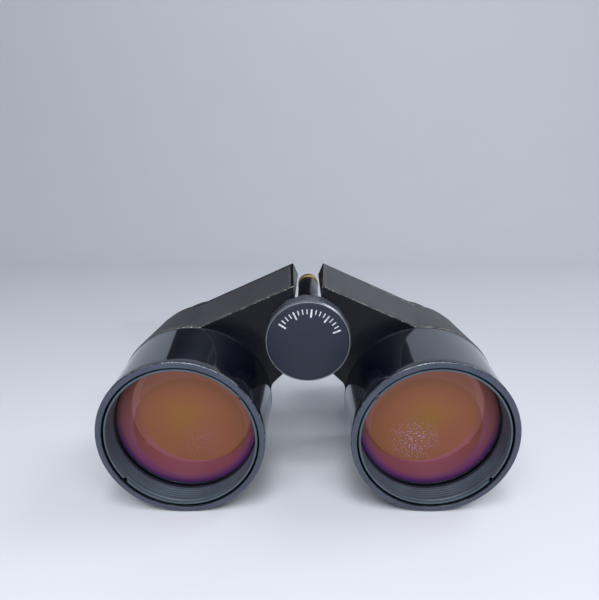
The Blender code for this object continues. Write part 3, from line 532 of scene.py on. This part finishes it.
def make_eyepiece(side_name, side):
    """Eyepiece tube, fluted ring, ocular cell, eye lens and flared eyecup."""
    body = BODY[side_name]
    axis = (side * EYEPIECE_X, EYEPIECE_Z)
    node = "eyepiece_tube_" + side_name
    corners = [
        (10.6, SLEEVE_REAR), (10.6, TUBE_REAR), (11.2, TUBE_REAR), (11.2, 48.0), (10.9, 47.6),
        (10.9, 45.0), (7.6, 45.0), (7.6, 42.0), (6.4, 42.0), (6.4, 50.9), (9.4, 50.9),
        (9.4, SLEEVE_REAR),
    ]
    tube = turned(node + "_barrel", corners, 0.25, axis, body, [node], 160)
    tube.data.materials.append(PAINT)
    ring_node = "dioptre_ring" if side < 0 else "eyepiece_ring_left"
    ring_body = "dioptre_ring_body" if side < 0 else body
    profile, _ = rounded([(RING_RADIUS, 75.9), (RING_RADIUS, 68.3), (10.9, 68.3), (10.9, 75.9)],
                         [0.5, 0.5, 0.2, 0.2])
    wall = np.stack([np.full(20, RING_RADIUS), np.linspace(75.3, 68.9, 20)], 1)
    dense = np.vstack([profile[:6], wall, profile[6:]])
    points = knurled(about_axis(dense, axis, 432), axis, RING_FLUTES, 0.35, 68.8, 75.4)
    faces = grid_faces(*points.shape[:2], wrap_u=True, wrap_v=True)
    ring = make_piece(ring_node + "_grip", points, faces, ring_body,
                      [ring_node])
    ring.data.materials.append(BLACK_ANODISED)
    ocular_body = "right_ocular" if side < 0 else body
    node = "ocular_cell_" + side_name
    corners = [(9.1, 83.0), (9.1, 52.0), (8.0, 52.0), (8.0, 81.4), (7.3, 82.0), (7.3, 83.0)]
    cell = turned(node + "_tube", corners, 0.15, axis, ocular_body, [node], 128)
    cell.data.materials.append(BLACK_ANODISED)
    node = "eye_lens_" + side_name
    radius = np.linspace(0, 7.7, 24)
    dome = 1.2 * (1 - (radius / 7.7) ** 2)
    profile = np.vstack([np.stack([radius, 80.2 + dome], 1),
                         np.stack([radius, 78.8 - dome], 1)[::-1]])
    points = about_axis(profile, axis, 96)
    faces = grid_faces(*points.shape[:2], wrap_u=True)
    glass = make_piece(node + "_glass", points, faces, ocular_body, [node])
    glass.data.materials.append(EYE_GLASS)
    node = "eyecup_" + side_name
    corners = [
        (16.4, EYECUP_REAR), (17.0, 93.4), (16.1, 88.0), (RING_RADIUS, 78.4),
        (RING_RADIUS, 76.2), (10.9, 76.2), (10.9, 84.3), (9.4, 84.3), (9.4, 85.0),
        (14.4, EYECUP_REAR),
    ]
    radii = [0.5, 0.5, 4.0, 2.0, 0.4, 0.2, 0.2, 0.1, 0.4, 0.6]
    cup = turned(node + "_cup", corners, radii, axis, body, [node], 160)
    cup.data.materials.append(RUBBER)


def make_strap_lug(side_name, side):
    """A wire loop: a circle carried along a half ring with its ends in the wall."""
    node = "strap_lug_" + side_name
    steps, sides = 60, 24
    angle = np.linspace(-0.12, pi + 0.12, steps)
    outward = np.array([side * cos(radians(-13.0)), 0.0, sin(radians(-13.0))])
    foot = np.array([side * OBJECTIVE_X, LOOP_Y, 0.0]) + outward * 18.3
    centre = foot + outward * LOOP_RADIUS * np.sin(angle)[:, None]
    centre[:, 1] += LOOP_RADIUS * np.cos(angle)
    spoke = outward * np.sin(angle)[:, None]
    spoke[:, 1] += np.cos(angle)
    side_way = np.cross(outward, [0.0, 1.0, 0.0])
    turn = np.linspace(0, 2 * pi, sides, endpoint=False)
    ring = (spoke[:, None] * np.cos(turn)[None, :, None]
            + side_way[None, None] * np.sin(turn)[None, :, None])
    points = centre[:, None] + WIRE_RADIUS * ring
    faces = [tuple(face) for face in grid_faces(*points.shape[:2], wrap_v=True)]
    faces += [tuple(range(sides)), tuple(range((steps - 1) * sides, steps * sides))]
    lug = make_piece(node + "_loop", points, faces, BODY[side_name], [node])
    lug.data.materials.append(SCREW_STEEL)


# ---------------------------------------------------------------------------------------------
# Hinge and focus wheel
# ---------------------------------------------------------------------------------------------

def make_hinge():
    """The barrel behind the housings and the worn brass cap on its end."""
    axis = (0.0, HINGE_Z)
    start = COVER_REAR - 1.2
    corners = [(BARREL_RADIUS, BARREL_REAR), (BARREL_RADIUS, start), (PIN_BORE, start),
               (PIN_BORE, BARREL_REAR)]
    barrel = turned("hinge_barrel_tube", corners, 0.3, axis, "right_half",
                    ["hinge_barrel"], 96)
    barrel.data.materials.append(PAINT)
    front, rear = BARREL_REAR + GAP, BARREL_REAR + 3.0
    corners = [(0, rear), (2.9, rear), (3.15, rear - 0.4), (3.15, front), (PIN_BORE, front),
               (PIN_BORE, rear - 1.0), (0, rear - 1.0)]
    cap = turned("hinge_cap_brass", corners, [0, 0.3, 0.3, 0.35, 0.1, 0.1, 0], axis,
                 "right_half", ["hinge_end_cap"], 96, closed=False)
    cap.data.materials.append(WORN_BRASS)


def make_wheel():
    """The focus wheel: flats round its edge, a bright bevel, and a recess for the face disc.

    A flat's radius is the full one times the cosine of half a flat's angle, over the cosine of
    the angle from the middle of the flat.
    """
    axis = (0.0, HINGE_Z)
    corners = [
        (1.6, WHEEL_REAR), (WHEEL_RADIUS, WHEEL_REAR), (WHEEL_RADIUS, WHEEL_FRONT + 0.9),
        (FACE_RADIUS + 0.25, WHEEL_FRONT), (FACE_RADIUS + 0.07, WHEEL_FRONT),
        (FACE_RADIUS + 0.07, WHEEL_FRONT + 1.2), (0.0, WHEEL_FRONT + 1.2),
    ]
    radii = [0, 0.3, 0.12, 0.1, 0.05, 0.05, 0]
    profile, marks = rounded(corners, radii, closed=False, steps=4)
    profile = np.vstack([[(0.0, WHEEL_FRONT + 2.1), (1.6, WHEEL_FRONT + 2.1)], profile])
    marks = np.concatenate([[0, 0], marks])
    points = about_axis(profile, axis, 360)
    x, z = points[..., 0] - axis[0], points[..., 2] - axis[1]
    radius, angle = np.hypot(x, z), np.arctan2(z, x)
    turn = angle + radians(7.5) - pi / 2
    step = 2 * pi / WHEEL_FLATS
    local = np.abs((turn + step / 2) % step - step / 2)
    flat = cos(step / 2) / np.cos(local)
    blend = np.clip((radius - FACE_RADIUS - 0.3) / 0.2, 0, 1)
    share = 1 + (np.minimum(flat, 0.995) - 1) * blend
    points[..., 0], points[..., 2] = axis[0] + x * share, axis[1] + z * share
    faces = grid_faces(*points.shape[:2], wrap_u=True)
    corner = np.clip(1 - (step / 2 - local) / 0.03, 0, 1) * blend
    edge = np.maximum(np.broadcast_to(marks, corner.shape), 0.8 * corner)
    wheel = make_piece("focus_wheel_grip", points, faces, "focus_wheel_set",
                       ["focus_wheel"], edge, sharp=14.0)
    wheel.data.materials.append(WHEEL_METAL)
    rim = FACE_RADIUS + 0.12
    corners = [(rim + 0.42, WHEEL_FRONT + 0.55), (rim + 0.12, WHEEL_FRONT - 0.03),
               (rim, WHEEL_FRONT - 0.03), (rim, WHEEL_FRONT + 0.55)]
    bevel = turned("focus_wheel_bevel", corners, 0.03, axis, "focus_wheel_set",
                   (), 256)
    bevel.data.materials.append(SCREW_STEEL)
    corners = [(0, WHEEL_FRONT), (FACE_RADIUS, WHEEL_FRONT), (FACE_RADIUS, WHEEL_FRONT + 0.9),
               (0, WHEEL_FRONT + 0.9)]
    disc = turned("focus_wheel_disc", corners, [0, 0.18, 0.1, 0], axis, "focus_wheel_set",
                  ["focus_wheel_face"], 192, closed=False)
    disc.data.materials.append(FACE_METAL)
    make_marks()


def make_marks():
    """Plain white focus marks on the disc: an arc of ticks, every fourth one longer."""
    points, faces = [], []
    face_y = WHEEL_FRONT - 0.05
    for number, angle in enumerate(np.radians(np.linspace(146, 22, 17))):
        long_one = number % 4 == 0
        inner, outer = (6.3 if long_one else 7.1), 8.3
        radial = np.array([cos(angle), 0.0, sin(angle)])
        across = np.array([-sin(angle), 0.0, cos(angle)]) * (0.2 if long_one else 0.13)
        hub = np.array([0.0, face_y, HINGE_Z])
        base = [hub + radial * inner - across, hub + radial * outer - across,
                hub + radial * outer + across, hub + radial * inner + across]
        start = len(points)
        points += base + [point + np.array([0.0, 0.1, 0.0]) for point in base]
        loop = np.array([[0, 1, 2, 3], [7, 6, 5, 4], [0, 4, 5, 1], [1, 5, 6, 2], [2, 6, 7, 3],
                         [3, 7, 4, 0]]) + start
        faces += loop.tolist()
    marks = make_piece("focus_marks", points, faces, "focus_wheel_set")
    marks.data.materials.append(MARK_PAINT)


# ---------------------------------------------------------------------------------------------
# Materials
# ---------------------------------------------------------------------------------------------

class Recipe:
    """A node material under construction, on Object coordinates."""

    def __init__(self, name, color, roughness, metallic=0.0, **sockets):
        self.material = bpy.data.materials.new(name)
        self.material.use_nodes = True
        self.tree = self.material.node_tree
        self.shader = self.tree.nodes["Principled BSDF"]
        self.shader.inputs["Base Color"].default_value = (*color, 1.0)
        self.shader.inputs["Roughness"].default_value = roughness
        self.shader.inputs["Metallic"].default_value = metallic
        for socket, value in sockets.items():
            self.shader.inputs[socket.replace("_", " ")].default_value = value
        self.place = self.node("ShaderNodeTexCoord").outputs["Object"]

    def node(self, kind, **settings):
        """A node with its own settings."""
        made = self.tree.nodes.new(kind)
        for setting, value in settings.items():
            setattr(made, setting, value)
        return made

    def link(self, source, target):
        """Join an output to an input, or set the input to a plain value."""
        if isinstance(source, (int, float)):
            target.default_value = source
        elif isinstance(source, tuple):
            target.default_value = (*source, 1.0) if len(source) == 3 else source
        else:
            self.tree.links.new(source, target)

    def noise(self, size, detail=3.0, rough=0.55):
        """Noise whose grains are about size millimetres across."""
        made = self.node("ShaderNodeTexNoise")
        made.inputs["Scale"].default_value = 1.0 / (size * MM)
        made.inputs["Detail"].default_value = detail
        made.inputs["Roughness"].default_value = rough
        self.link(self.place, made.inputs["Vector"])
        return made.outputs["Fac"]

    def cells(self, size, feature="F1"):
        """Distance to scattered points about size millimetres apart."""
        made = self.node("ShaderNodeTexVoronoi", feature=feature)
        made.inputs["Scale"].default_value = 1.0 / (size * MM)
        self.link(self.place, made.inputs["Vector"])
        return made.outputs["Distance"]

    def span(self, value, low, high, to_low=0.0, to_high=1.0):
        """Map a value from one range to another, clamped."""
        made = self.node("ShaderNodeMapRange")
        for socket, number in zip(("From Min", "From Max", "To Min", "To Max"),
                                  (low, high, to_low, to_high)):
            made.inputs[socket].default_value = number
        self.link(value, made.inputs["Value"])
        return made.outputs["Result"]

    def math(self, kind, first, second=0.0):
        """One arithmetic step."""
        made = self.node("ShaderNodeMath", operation=kind)
        self.link(first, made.inputs[0])
        self.link(second, made.inputs[1])
        return made.outputs["Value"]

    def mix(self, share, first, second):
        """A colour between two colours."""
        made = self.node("ShaderNodeMix", data_type="RGBA")
        self.link(share, made.inputs["Factor"])
        self.link(first, made.inputs["A"])
        self.link(second, made.inputs["B"])
        return made.outputs["Result"]

    def attribute(self, name):
        """A value that the mesh carries."""
        return self.node("ShaderNodeAttribute", attribute_name=name)

    def bump(self, height, strength, depth):
        """Relief from a height, depth in millimetres."""
        made = self.node("ShaderNodeBump")
        made.inputs["Strength"].default_value = strength
        made.inputs["Distance"].default_value = depth * MM
        self.link(height, made.inputs["Height"])
        self.link(made.outputs["Normal"], self.shader.inputs["Normal"])

    def put(self, socket, value):
        """Drive one of the shader's inputs."""
        self.link(value, self.shader.inputs[socket])


def enamel(name, color, roughness, gloss, wear=0.5, **sockets):
    """Stoved black enamel: faint orange peel, lint and dust, metal through along the edges."""
    r = Recipe(name, color, roughness, Specular_IOR_Level=gloss, **sockets)
    broad = r.noise(14.0, 4.0)
    fine = r.noise(0.5, 2.0)
    dust = r.span(r.cells(1.3), 0.08, 0.03)
    patch = r.span(r.noise(5.0, 5.0), 0.54, 0.68)
    dust = r.math("MULTIPLY", dust, patch)
    edge = r.attribute("edge").outputs["Fac"]
    chips = r.span(r.noise(0.5, 6.0, 0.7), 0.44, 0.58)
    line = r.span(edge, 0.55, 0.9)
    worn = r.math("MULTIPLY", r.math("MULTIPLY", line, chips), wear)
    tone = r.mix(r.span(broad, 0.35, 0.7), color, tuple(c * 1.6 + 0.001 for c in color))
    tone = r.mix(r.math("MULTIPLY", dust, 0.6), tone, (0.20, 0.20, 0.22))
    r.put("Base Color", r.mix(worn, tone, (0.36, 0.35, 0.34)))
    r.put("Metallic", r.math("MULTIPLY", worn, 0.8))
    rough = r.span(broad, 0.3, 0.75, roughness * 0.85, roughness * 1.25)
    r.put("Roughness", r.math("ADD", rough, r.math("MULTIPLY", dust, 0.4)))
    r.bump(r.math("ADD", fine, r.math("MULTIPLY", dust, 2.0)), 0.08, 0.015)
    return r.material


def satin_metal(name, color, roughness, metallic, wear, worn_color, grain=0.25):
    """Anodised or turned metal: fine turning grain, smudges, and bright worn edges."""
    r = Recipe(name, color, roughness, metallic)
    smudge = r.noise(6.0, 5.0)
    fine = r.noise(0.12, 2.0)
    edge = r.attribute("edge").outputs["Fac"]
    chips = r.span(r.noise(0.8, 6.0, 0.75), 0.56, 0.66)
    worn = r.math("MULTIPLY", r.math("MULTIPLY", r.span(edge, 0.5, 0.95), chips), wear)
    specks = r.span(r.cells(1.1), 0.07, 0.03)
    specks = r.math("MULTIPLY", specks, r.span(r.noise(3.0, 4.0), 0.58, 0.7))
    tone = r.mix(r.span(smudge, 0.3, 0.75), color, tuple(c * 1.5 for c in color))
    tone = r.mix(r.math("MULTIPLY", specks, 0.5), tone, (0.4, 0.4, 0.42))
    r.put("Base Color", r.mix(worn, tone, worn_color))
    r.put("Roughness", r.span(smudge, 0.3, 0.75, roughness * 0.85, roughness * 1.25))
    r.bump(fine, grain, 0.015)
    return r.material


def leatherette(name):
    """Grained leatherette: crackled relief, pale dust, edges frayed to tan fibre."""
    base = (0.013, 0.0145, 0.019)
    r = Recipe(name, base, 0.5, Specular_IOR_Level=1.0)
    grain = r.cells(0.75, "SMOOTH_F1")
    crackle = r.noise(0.45, 5.0, 0.7)
    relief = r.math("ADD", r.math("MULTIPLY", grain, 0.6), crackle)
    broad = r.noise(9.0, 4.0)
    tone = r.mix(r.span(crackle, 0.35, 0.65), tuple(c * 0.5 for c in base),
                 tuple(c * 2.6 for c in base))
    tone = r.mix(r.span(broad, 0.4, 0.75, 0.0, 0.35), tone, (0.04, 0.046, 0.06))
    away = r.attribute("sheet").outputs["Vector"]
    split = r.node("ShaderNodeSeparateXYZ")
    r.link(away, split.inputs["Vector"])
    rim = r.span(split.outputs["Z"], 0.55, 0.12)
    fray = r.span(r.noise(1.3, 6.0, 0.75), 0.46, 0.6)
    rub = r.math("MULTIPLY", rim, fray)
    tone = r.mix(rub, tone, (0.20, 0.165, 0.095))
    specks = r.math("MULTIPLY", r.span(r.cells(0.8), 0.10, 0.04),
                    r.span(r.noise(2.5, 3.0), 0.5, 0.7))
    r.put("Base Color", r.mix(r.math("MULTIPLY", specks, 0.5), tone, (0.22, 0.22, 0.24)))
    r.put("Roughness", r.span(crackle, 0.35, 0.65, 0.3, 0.62))
    r.bump(relief, 1.0, 0.45)
    return r.material


def lens_painted_reflections(name, side):
    """Objective glass whose colour is painted reflection: two overlapping discs of amber and rose and a violet
    edge paint the reflections of the coating and the inner lens rings.
    """
    r = Recipe(name, (0.3, 0.12, 0.05), 0.08, 0.25, Specular_IOR_Level=0.3)
    mapping = r.node("ShaderNodeMapping", vector_type="TEXTURE")
    centre = to_world([side * OBJECTIVE_X, 8.0, 0.0])
    mapping.inputs["Location"].default_value = tuple(centre)
    mapping.inputs["Rotation"].default_value = (PITCH, 0.0, 0.0)
    mapping.inputs["Scale"].default_value = (16.4 * MM,) * 3     # 1 at the glass's edge
    r.link(r.place, mapping.inputs["Vector"])
    split = r.node("ShaderNodeSeparateXYZ")
    r.link(mapping.outputs["Vector"], split.inputs["Vector"])
    x, z = split.outputs["X"], split.outputs["Z"]

    def disc(cx, cz, radius, soft):
        """1 inside a circle, falling to 0 over its soft edge."""
        dx = r.math("POWER", r.math("ABSOLUTE", r.math("SUBTRACT", x, cx)), 2.0)
        dz = r.math("POWER", r.math("ABSOLUTE", r.math("SUBTRACT", z, cz)), 2.0)
        far = r.math("SQRT", r.math("ADD", dx, dz))
        return r.span(far, radius + soft, radius - soft)

    # The tones below change with height on the glass. This is painted light that offsets the hood's shade: the
    # rose grows lighter towards the bottom, and the region outside both discs is made lighter.
    amber = r.mix(r.span(z, 0.75, 0.0), (0.27, 0.092, 0.042), (0.225, 0.077, 0.03))
    amber = r.mix(r.math("MULTIPLY", disc(-0.02, 0.12, 0.22, 0.2), 0.7), amber,
                  (0.22, 0.105, 0.016))
    amber = r.mix(r.math("MULTIPLY", disc(0.3, -0.25, 0.2, 0.25), 0.5), amber,
                  (0.25, 0.062, 0.055))
    rose = r.mix(r.span(z, 0.0, -0.7), (0.215, 0.07, 0.045), (0.29, 0.075, 0.105))
    # The two discs and the violet border are painted reflections of the inner lens rings in the coated glass.
    inner = disc(side * -0.04, -0.08, 0.80, 0.008)
    upper = disc(side * -0.18, 0.24, 0.83, 0.008)
    outside = r.mix(r.span(z, 0.5, -0.6), (0.34, 0.125, 0.095), (0.24, 0.065, 0.15))
    tone = r.mix(inner, outside, rose)
    both = r.mix(inner, r.mix(0.45, amber, outside), amber)
    tone = r.mix(upper, tone, both)
    rim = disc(0.0, 0.0, 0.95, 0.035)
    border = r.mix(r.span(z, 0.2, -0.4), (0.20, 0.085, 0.085), (0.11, 0.035, 0.17))
    tone = r.mix(rim, border, tone)
    patch = disc(side * -0.22, -0.25, 0.22, 0.2)
    dots = r.span(r.cells(0.5), 0.42, 0.15)
    share = 0.85 if side > 0 else 0.15
    haze = r.math("MULTIPLY", r.math("MULTIPLY", dots, patch), share)
    tone = r.mix(haze, tone, (0.42, 0.30, 0.60))
    dust = r.math("MULTIPLY", r.span(r.cells(0.9), 0.06, 0.03),
                  r.span(r.noise(3.0, 3.0), 0.5, 0.7))
    r.put("Base Color", r.mix(r.math("MULTIPLY", dust, 0.7), tone, (0.5, 0.45, 0.45)))
    r.put("Roughness", r.math("ADD", 0.08, r.math("MULTIPLY", haze, 0.35)))
    return r.material


def clear_glass(name, tint):
    """Polished optical glass with faint dust."""
    r = Recipe(name, tint, 0.03, Transmission_Weight=0.85, IOR=1.52)
    dust = r.span(r.noise(0.6, 5.0, 0.7), 0.62, 0.75)
    r.put("Roughness", r.math("ADD", 0.02, r.math("MULTIPLY", dust, 0.25)))
    r.put("Base Color", r.mix(r.math("MULTIPLY", dust, 0.2), tint, (0.9, 0.9, 0.92)))
    return r.material


def white_marks(name):
    """White paint rubbed thin in places."""
    r = Recipe(name, (0.75, 0.76, 0.78), 0.55)
    thin = r.span(r.noise(0.5, 5.0), 0.35, 0.6)
    r.put("Base Color", r.mix(thin, (0.35, 0.37, 0.4), (0.8, 0.81, 0.83)))
    r.bump(r.noise(0.15), 0.2, 0.02)
    return r.material


PAINT = enamel("black_enamel", (0.0022, 0.0027, 0.0052), 0.2, 0.2, 0.9)
PAINT_TUBE = enamel("black_enamel_tube", (0.0022, 0.0028, 0.006), 0.12, 0.5, 0.4,
                    Coat_Weight=0.7, Coat_Roughness=0.02, Coat_IOR=1.5,
                    Coat_Tint=(0.86, 0.93, 1.0, 1.0), Specular_Tint=(0.82, 0.9, 1.0, 1.0))
RIM_METAL = satin_metal("rim_satin", (0.054, 0.064, 0.092), 0.42, 0.5, 0.3, (0.6, 0.6, 0.62))
HOOD_METAL = satin_metal("hood_satin", (0.058, 0.084, 0.105), 0.4, 0.3, 0.25, (0.7, 0.7, 0.7))
BLACK_ANODISED = satin_metal("black_anodised", (0.014, 0.016, 0.022), 0.36, 0.3, 0.4,
                             (0.4, 0.4, 0.42))
WHEEL_METAL = satin_metal("wheel_satin", (0.12, 0.135, 0.17), 0.28, 0.6, 0.8, (0.6, 0.6, 0.62))
FACE_METAL = satin_metal("wheel_face_satin", (0.009, 0.0135, 0.027), 0.5, 0.1, 0.2,
                         (0.4, 0.4, 0.42))
SCREW_STEEL = satin_metal("dull_steel", (0.28, 0.29, 0.32), 0.34, 0.9, 0.4, (0.6, 0.6, 0.6))
WORN_BRASS = satin_metal("worn_brass", (0.42, 0.28, 0.09), 0.35, 0.9, 0.7, (0.62, 0.47, 0.2))
RUBBER = satin_metal("eyecup_rubber", (0.03, 0.031, 0.036), 0.62, 0.0, 0.2, (0.09, 0.09, 0.09),
                     0.6)
SKIN_LEATHER = leatherette("leatherette_grain")
EYE_GLASS = clear_glass("eye_lens_glass", (0.55, 0.62, 0.75))
PRISM_GLASS = clear_glass("prism_glass", (0.85, 0.88, 0.9))
MARK_PAINT = white_marks("white_marks")


def dress_inner_nodes():
    """Materials for the solids that stay as they are, inside the housings."""
    kinds = {"prism_plate": SCREW_STEEL, "prism": PRISM_GLASS, "lens": PRISM_GLASS,
             "arm": SCREW_STEEL, "bush": SCREW_STEEL, "pin": SCREW_STEEL,
             "spindle": SCREW_STEEL, "carriage": WORN_BRASS}
    for name, node in frame["nodes"].items():
        if node.hide_render:
            continue
        finish = next((kind for key, kind in kinds.items() if key in name), BLACK_ANODISED)
        for slot in node.material_slots:
            slot.material = finish


# ---------------------------------------------------------------------------------------------
# Stage
# ---------------------------------------------------------------------------------------------

def stage_material(name, color, roughness):
    """Plain paper for the sweep."""
    r = Recipe(name, color, roughness)
    r.put("Base Color", r.mix(r.noise(60.0, 2.0), tuple(c * 0.97 for c in color), color))
    return r.material


def make_stage():
    """A pale paper sweep: flat under the object, then curving up behind it."""
    turn = np.linspace(0, pi / 2, 24)
    bend_start, bend = 0.42, 0.35
    curve = np.stack([bend_start + bend * np.sin(turn), bend * (1 - np.cos(turn))], 1)
    profile = np.vstack([[(-1.6, 0.0)], curve, [(0.77, 1.9)]])
    across = np.linspace(-1.8, 1.8, 3)
    points = np.stack(np.broadcast_arrays(across[:, None], profile[None, :, 0],
                                          profile[None, :, 1]), -1)
    mesh = bpy.data.meshes.new("paper_sweep")
    mesh.from_pydata(points.reshape(-1, 3), [], grid_faces(*points.shape[:2]).tolist())
    mesh.shade_smooth()
    sweep = bpy.data.objects.new("paper_sweep", mesh)
    bpy.context.scene.collection.objects.link(sweep)
    sweep.data.materials.append(stage_material("pale_paper", (0.74, 0.75, 0.79), 0.6))
    make_cards()


def make_cards():
    """Two dark cards behind the object, seen by reflections only."""
    for name, left, right, back, top in (("dark_card", -0.105, 0.006, 0.165, 0.165),
                                         ("dark_slip", -0.0026, 0.0135, 0.100, 0.120)):
        mesh = bpy.data.meshes.new(name)
        corners = [(left, back, 0.0), (right, back, 0.0), (right, back, top), (left, back, top)]
        mesh.from_pydata(corners, [], [(0, 1, 2, 3)])
        card = bpy.data.objects.new(name, mesh)
        bpy.context.scene.collection.objects.link(card)
        card.data.materials.append(stage_material(name, (0.008, 0.009, 0.013), 0.8))
        card.visible_camera = False
        card.visible_diffuse = False
        card.visible_shadow = False


def area_light(name, place, target, size, power, color):
    """A soft box aimed at a point."""
    data = bpy.data.lights.new(name, "AREA")
    data.shape = "RECTANGLE"
    data.size, data.size_y = size
    data.energy = power
    data.color = color
    lamp = bpy.data.objects.new(name, data)
    lamp.location = place
    lamp.rotation_euler = (Vector(target) - Vector(place)).to_track_quat("-Z", "Y").to_euler()
    bpy.context.scene.collection.objects.link(lamp)


def make_lights():
    """A pale room, a broad box in front, a smaller one at the side, and a spot on the floor."""
    world = bpy.data.worlds.new("room")
    world.use_nodes = True
    sky = world.node_tree.nodes["Background"]
    sky.inputs["Color"].default_value = (0.80, 0.88, 1.0, 1.0)
    sky.inputs["Strength"].default_value = 0.27
    bpy.context.scene.world = world
    cool = (0.92, 0.96, 1.0)
    area_light("front_box", (0.0, -0.68, 0.60), (0.0, 0.0, 0.0), (0.8, 0.4), 7.4, cool)
    area_light("side_box", (0.6, 0.1, 0.7), (0.0, 0.0, 0.02), (0.4, 0.4), 2.0, cool)
    data = bpy.data.lights.new("floor_spot", "SPOT")
    data.energy, data.color = 3.6, cool
    data.spot_size, data.spot_blend, data.shadow_soft_size = radians(40.0), 1.0, 0.08
    spot = bpy.data.objects.new("floor_spot", data)
    spot.location = (0.0, -0.30, 0.55)
    spot.rotation_euler = (radians(20.0), 0.0, 0.0)
    bpy.context.scene.collection.objects.link(spot)


def make_camera():
    """A close view from the objective side, 20.8 degrees above the optical axes."""
    data = bpy.data.cameras.new("view")
    data.lens = 36.0
    data.sensor_width = 36.0
    data.clip_start = 0.005
    data.shift_x = -0.0143
    data.shift_y = 0.0665
    camera = bpy.data.objects.new("view", data)
    camera.location = to_world([0.0, -116.9, 68.4])
    camera.rotation_euler = (pi / 2 - (radians(20.79) - PITCH), 0.0, 0.0)
    bpy.context.scene.collection.objects.link(camera)
    bpy.context.scene.camera = camera


# ---------------------------------------------------------------------------------------------
# Assembly
# ---------------------------------------------------------------------------------------------

for side_name, side in SIDES.items():
    make_housing(side_name, side)
    make_cover(side_name, side)
    sheet_on_panel("leatherette_skin_" + side_name, side, HOUSING_FRONT + 0.5,
                   HOUSING_REAR - 0.5, 0.9, 0.0, 0.14, BODY[side_name],
                   ["leatherette_" + side_name], SKIN_LEATHER)
    make_objective(side_name, side)
    make_eyepiece(side_name, side)
    make_strap_lug(side_name, side)
make_hinge()
make_wheel()
dress_inner_nodes()
make_stage()
make_lights()
make_camera()
bpy.context.scene.view_settings.view_transform = "Standard"
